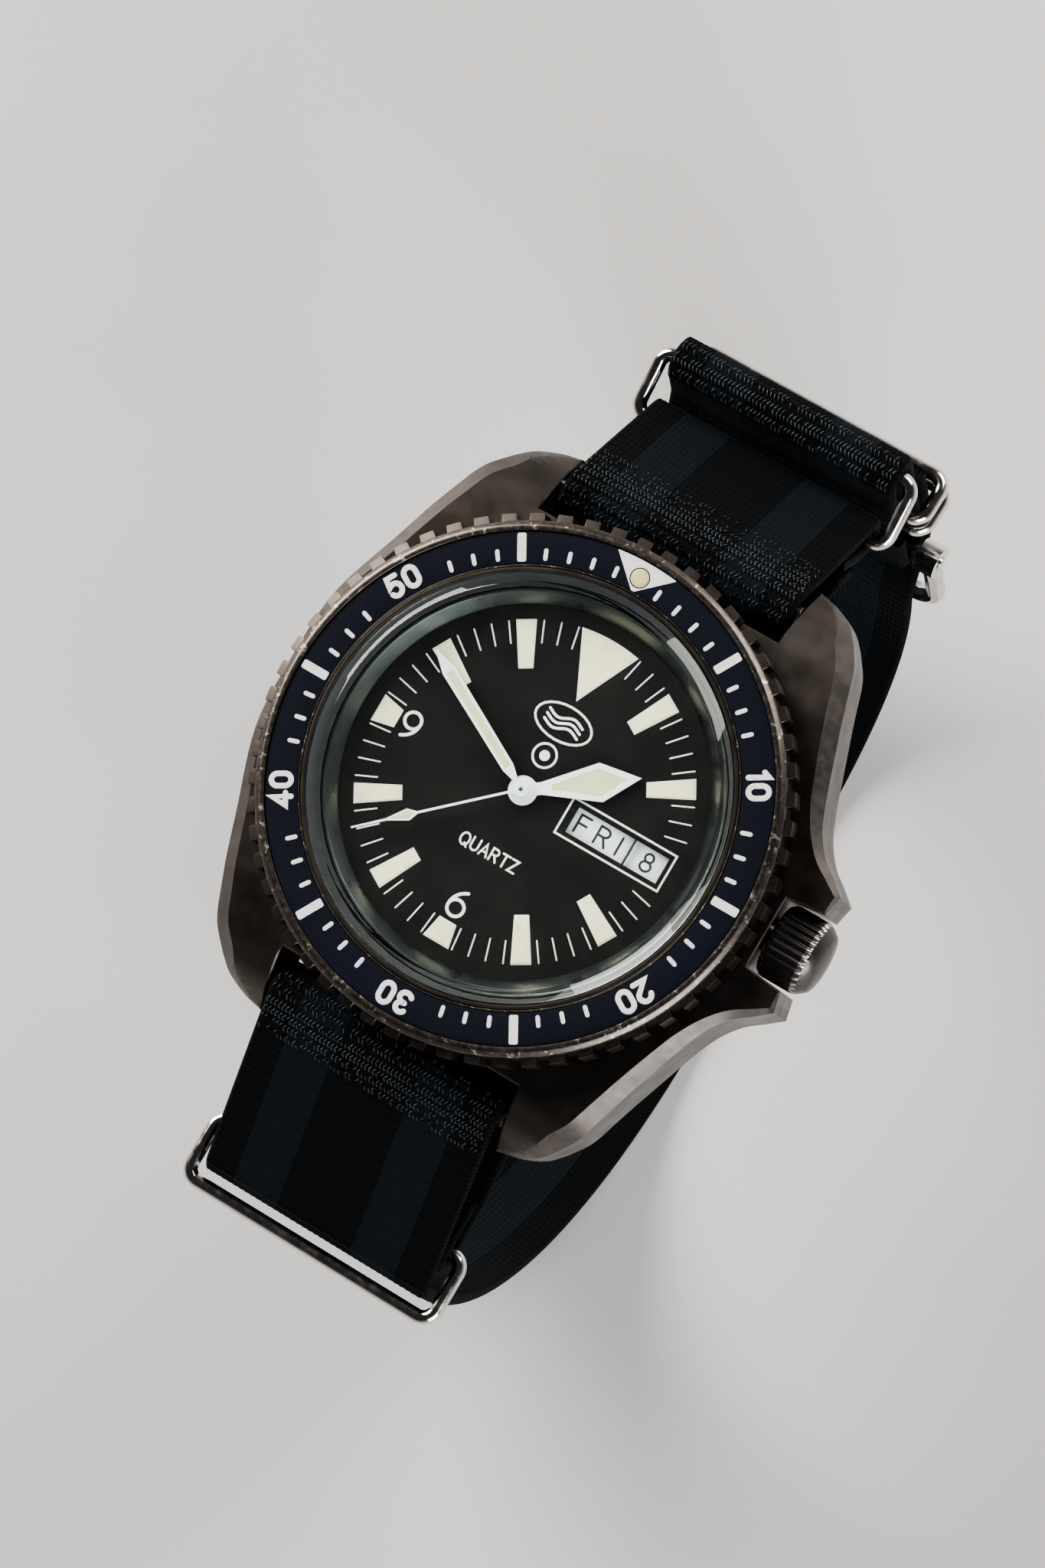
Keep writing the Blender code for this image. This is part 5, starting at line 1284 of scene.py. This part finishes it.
def make_straps(weave):
    """The three webbing pieces, with the punched holes, their rims and raised thread loops on the bends,
    painted light as the bends' highlights.
    """
    # the thread loops' light colour is a painted highlight where the strap bends
    shine = finish("thread", "strap_thread_painted_highlight", (0.050, 0.064, 0.076), 0.38, Specular_IOR_Level=0.5)
    detail = ((0.14, 180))
    path, through = long_strap_path()
    around_bars = [(BAR_Y - 1.0, BAR_Y + 3.6, BAR_Z - 3.5), (-BAR_Y - 3.6, 1.0 - BAR_Y, BAR_Z - 3.5)]
    thread_rows("long_strap_threads", path, -1, around_bars, shine)
    tongue = run_lengths(path)[through]
    holes = [(tongue - HOLE_SPACING * (i + 1.5), 0.8) for i in range(4)]
    slot = [(tongue - 1.0 + 0.8 * i, 0.9) for i in range(3)]
    strap_piece("long_strap", path, STRAP_THICKNESS, weave, *detail, holes + slot)
    nylon = finish("moulded", "sealed_nylon", (0.006, 0.0065, 0.0075), 0.45, 0.01)
    hole_rims(path, holes, nylon)
    thin = STRAP_THICKNESS - 0.1
    low = UNDER_Z - STRAP_THICKNESS / 2 - 0.1 - thin / 2
    around = WIRE + SLIP + thin / 2
    y6, z6 = RING6_NEAR
    y12, z12 = RING12_NEAR
    path = [(y12 - 2.8, z12 - 0.4), (y12 - 4.2, z12 + 1.5), (y12 - 6.2, z12 + 2.5),
            (BAR_Y - 1.5, low - 0.05), (BAR_Y - 5, low), (5 - BAR_Y, low), (-BAR_Y, low - 0.5),
            (y6 + 4.5, z6 - around + 0.25), *arc((y6, z6), around, 270, 90, 20),
            (y6 + 4.2, z6 + around + 0.2)]
    strap_piece("under_strap", path, thin, weave, *detail)
    normal = run_normal()
    start = shifted(RING12_FAR, (STRAP_MIDDLE, unit(180)))
    path = [shifted(start, (up, (0, -1)), (back, (-1, 0)))
            for up, back in ((7.0, 3.2), (5.4, 1.9), (3.2, 0.6))]
    path += arc(RING12_FAR, STRAP_MIDDLE, 180, normal, 20)
    turn = len(path)
    path += arc(buckle_point(0, 0), STRAP_MIDDLE, normal, normal - 180, 20)
    path.append(shifted(path[-1], (5.0, unit(normal + 90))))
    thread_rows("buckle_strap_threads", path, 1,
                [(RING12_FAR[0] - 1.6, RING12_FAR[0] + 1.0, RING12_FAR[1] + 0.2)], shine)
    lengths = run_lengths(path)
    middle = (lengths[turn] + lengths[-2]) / 2
    gap = [(middle + 0.5 * i, 1.45) for i in range(-5, 6)]
    strap_piece("buckle_strap", path, STRAP_THICKNESS, weave, *detail, gap)


# ---------------------------------------------------------------- wire hardware
def round_wire(node, points, metal, body):
    """A closed round wire along 3-D head points, which stands for a CAD node."""
    name = node + "_wire"
    curve = bpy.data.curves.new(name, "CURVE")
    curve.dimensions = "3D"
    spline = curve.splines.new("POLY")
    spline.points.add(len(points) - 1)
    for entry, point in zip(spline.points, world(points)):
        entry.co = (*point, 1)
    spline.use_cyclic_u = True
    curve.bevel_depth = WIRE * MM
    curve.bevel_resolution = 6
    holder = put(name + "_route", curve)
    mesh = evaluated(holder)
    bpy.data.objects.remove(holder)
    finish_piece(name, mesh, metal, body, node, 60)


def ring_route(first, second):
    """A rounded rectangle of wire through two bar centres (y, z)."""
    half = STRAP_WIDTH / 2 + 0.5 + WIRE
    reach = math.hypot(second[0] - first[0], second[1] - first[1])
    along = ((second[0] - first[0]) / reach, (second[1] - first[1]) / reach)
    bend = 1.1
    flat = []
    for cx, cs, start in ((half - bend, bend, -90), (half - bend, reach - bend, 0),
                          (bend - half, reach - bend, 90), (bend - half, bend, 180)):
        flat += arc((cx, cs), bend, start, start + 90, 10)
    return [(x, *shifted(first, (s, along))) for x, s in flat]


def make_hardware(metal):
    """Wire rings and keepers, and the CAD shapes of the buckle and the strap bars."""
    round_wire("ring_12", ring_route(RING12_NEAR, RING12_FAR), metal, "root")
    round_wire("ring_6", ring_route(RING6_NEAR, RING6_FAR), metal, "ring_6")
    normal = run_normal()
    up, out = unit(normal + 90), unit(normal)
    middle = STRAP_MIDDLE + (STRAP_THICKNESS + 0.1) / 2
    half = 1.95
    for node, height, body in (("keeper_fixed", 6.0, "root"),
                               ("keeper_floating", 8.9, "keeper_floating")):
        at = shifted(buckle_point(0, 0), (height, up), (middle, out))
        round_wire(node, ring_route(shifted(at, (-half, out)), shifted(at, (half, out))), metal, body)
    for node, body, width, segments in (
            ("buckle_frame", "buckle", 0.06, 2), ("buckle_bar", "buckle", 0.12, 3),
            ("buckle_tongue", "tongue", 0.05, 2), ("strap_bar_12", "root", 0.08, 3),
            ("strap_bar_6", "root", 0.08, 3)):
        refined(node, metal, body, width, segments)


# ---------------------------------------------------------------- inside
def make_movement():
    """The pieces inside, in their CAD shapes."""
    brass = finish("machined", "movement_brass", (0.72, 0.53, 0.26), 0.3)
    nickel = finish("machined", "movement_nickel", (0.62, 0.60, 0.56), 0.25, grain=(0.1, 1.0, 1.0))
    rubber = finish("moulded", "seal_rubber", (0.02, 0.02, 0.021), 0.72, 0.01)
    plastic = finish("moulded", "holder_plastic", (0.72, 0.71, 0.66), 0.5)
    board = finish("moulded", "board_green", (0.02, 0.11, 0.05), 0.35, 0.006, Coat_Weight=0.3)
    copper = finish("machined", "coil_copper", (0.62, 0.26, 0.10), 0.3, grain=(12.0, 1.0, 1.0))
    slots = {"brass": brass, "polished_steel": nickel, "rubber": rubber, "coil_copper": copper,
             "circuit_green": board, "holder_plastic": plastic}
    for slot, body, nodes in (
            ("brass", "root", "main_plate"), ("polished_steel", "root", "train_bridge stator"),
            ("coil_copper", "root", "coil"), ("circuit_green", "root", "circuit_board"),
            ("polished_steel", "root", "quartz_can battery battery_clamp"),
            ("holder_plastic", "root", "movement_holder"),
            ("polished_steel", "root", "bridge_screw_1 bridge_screw_2 bridge_screw_3"),
            ("rubber", "root", "caseback_gasket crystal_gasket"),
            ("rubber", "crown_slide", "crown_gasket"), ("rubber", "root", "bezel_oring"),
            ("polished_steel", "root", "crown_tube"), ("polished_steel", "crown", "stem"),
            ("brass", "crown", "clutch_wheel"), ("polished_steel", "root", "click_spring"),
            ("polished_steel", "setting_lever", "setting_lever"),
            ("brass", "seconds", "seconds_wheel"), ("brass", "third_wheel", "third_wheel"),
            ("brass", "minutes", "centre_wheel"), ("brass", "hours", "hour_wheel"),
            ("brass", "intermediate_wheel", "intermediate_wheel"), ("polished_steel", "rotor", "rotor"),
            ("brass", "minute_wheel", "minute_wheel"), ("brass", "date_wheel", "date_wheel")):
        for node in nodes.split():
            refined(node, slots[slot], body, 0.03, 1)


# ---------------------------------------------------------------- stage
def lamp(name, kind, aim, at, energy, color, **settings):
    """A lamp that shines along a direction."""
    light = bpy.data.lights.new(name, kind)
    light.energy, light.color = energy, color
    for setting, value in settings.items():
        setattr(light, setting, value)
    holder = put(name, light)
    holder.location = at
    holder.rotation_euler = aim.to_track_quat("-Z", "Y").to_euler()


def make_stage():
    """A large pale floor, a world that darkens upwards and soft lamps."""
    bpy.ops.mesh.primitive_plane_add(size=6, location=(0, 0, 0))
    floor = bpy.context.object
    floor.name = "floor"
    pale = Look("pale_floor", (0.62, 0.60, 0.585), 0.6)
    pale.tint(pale.ramp(pale.noise(0.02, 3), [(0.3, (0.60, 0.58, 0.565)), (0.7, (0.64, 0.62, 0.605))]))
    floor.data.materials.append(pale.material)
    studio = bpy.data.worlds.new("studio")
    studio.use_nodes = True
    tree = studio.node_tree
    place, split, ramp = (tree.nodes.new("ShaderNode" + kind)
                          for kind in ("TexCoord", "SeparateXYZ", "ValToRGB"))
    tree.links.new(place.outputs["Generated"], split.inputs["Vector"])
    tree.links.new(split.outputs["Z"], ramp.inputs["Fac"])
    tree.links.new(ramp.outputs["Color"], tree.nodes["Background"].inputs["Color"])
    elements = ramp.color_ramp.elements
    elements.new(0.3)
    for element, (height, tone) in zip(elements, ((0.0, 0.62), (0.22, 0.30), (0.6, 0.035))):
        element.position, element.color = height, (tone, tone, tone * 1.04, 1)
    bpy.context.scene.world = studio
    lamp("daylight", "SUN", Vector((0.72, -0.25, -0.55)), (0, 0, 0), 1.5, (1.0, 0.97, 0.93),
         angle=math.radians(35))
    for name, at, watts, color in (("window", (-0.72, 0.25, 0.48), 9.0, (1.0, 0.965, 0.92)),
                                   ("fill", (0.62, -0.42, 0.42), 7.0, (0.96, 0.98, 1.0)),
                                   ("behind", (0.25, 0.80, 0.55), 6.0, (1.0, 0.98, 0.95))):
        lamp(name, "AREA", Vector((0, 0, HEAD)) - Vector(at), at, watts, color, size=0.5)


def make_camera():
    """Long lens above the watch, leaning to the crown's side, rolled so that 12 points up right."""
    eye = Vector((0.08653, -0.00811, HEAD + 0.35361))
    back = Vector((0.237092, -0.023251, 0.971209)).normalized()
    right = Vector((-0.486306, 0.862602, 0.139368)).cross(back).normalized()
    camera = bpy.data.cameras.new("camera")
    camera.lens, camera.sensor_width, camera.clip_end = 115.04, 36, 10
    holder = put("camera", camera)
    turn = Matrix((right, back.cross(right), back)).transposed().to_4x4()
    holder.matrix_world = Matrix.Translation(eye) @ turn
    bpy.context.scene.camera = holder
    bpy.context.scene.view_settings.look = "AgX - Medium High Contrast"


def main():
    random.seed(4)
    make_stage()
    make_camera()
    metal = finish("polished", "polished_steel", (0.78, 0.74, 0.70), 0.12)
    white = finish("printed", "print_white", (0.80, 0.79, 0.77), 0.55)
    cream, green, pip = (
        finish("lume", name, color, 0.65, Subsurface_Weight=0.08, Subsurface_Scale=0.0003)
        for name, color in (("lume_cream", (0.83, 0.76, 0.49)), ("lume_green", (0.52, 0.60, 0.33)),
                            ("lume_pip", (0.66, 0.62, 0.30))))
    make_bezel(finish("blasted", "bezel_steel", (0.095, 0.081, 0.071), 0.36), worn_rim())
    make_insert(insert_navy(), white, pip)
    make_crystal(clear_glass())
    make_rehaut(finish("satin", "rehaut_metal", (0.14, 0.15, 0.15), 0.3))
    make_dial(finish("dial", "dial_black", (0.0098, 0.0094, 0.0086), 0.7, Specular_IOR_Level=0.06),
              white, cream, finish("moulded", "window_black", (0.01, 0.01, 0.01), 0.5))
    make_calendar(finish("moulded", "calendar_white", (0.80, 0.82, 0.84), 0.45, 0.003),
                  finish("moulded", "calendar_ink", (0.012, 0.012, 0.014), 0.5, 0.002))
    make_hands(finish("lacquer", "hand_white", (0.82, 0.84, 0.83), 0.28, Coat_Weight=0.4,
                      Coat_Roughness=0.15), green, metal)
    make_case(finish("blasted", "blasted_steel", (0.088, 0.076, 0.067), 0.38),
              finish("rubbed", "case_chamfer", (0.118, 0.104, 0.094), 0.44))
    # the crown's flute tips get a much lighter steel, a painted glint
    make_crown(finish("blasted", "crown_steel", (0.10, 0.092, 0.088), 0.34),
               finish("rubbed", "crown_tip_painted_glint", (0.52, 0.48, 0.44), 0.27))
    make_back(finish("blasted", "back_steel", (0.42, 0.40, 0.38), 0.3))
    make_hardware(metal)
    make_movement()
    make_straps(strap_weave())


main()
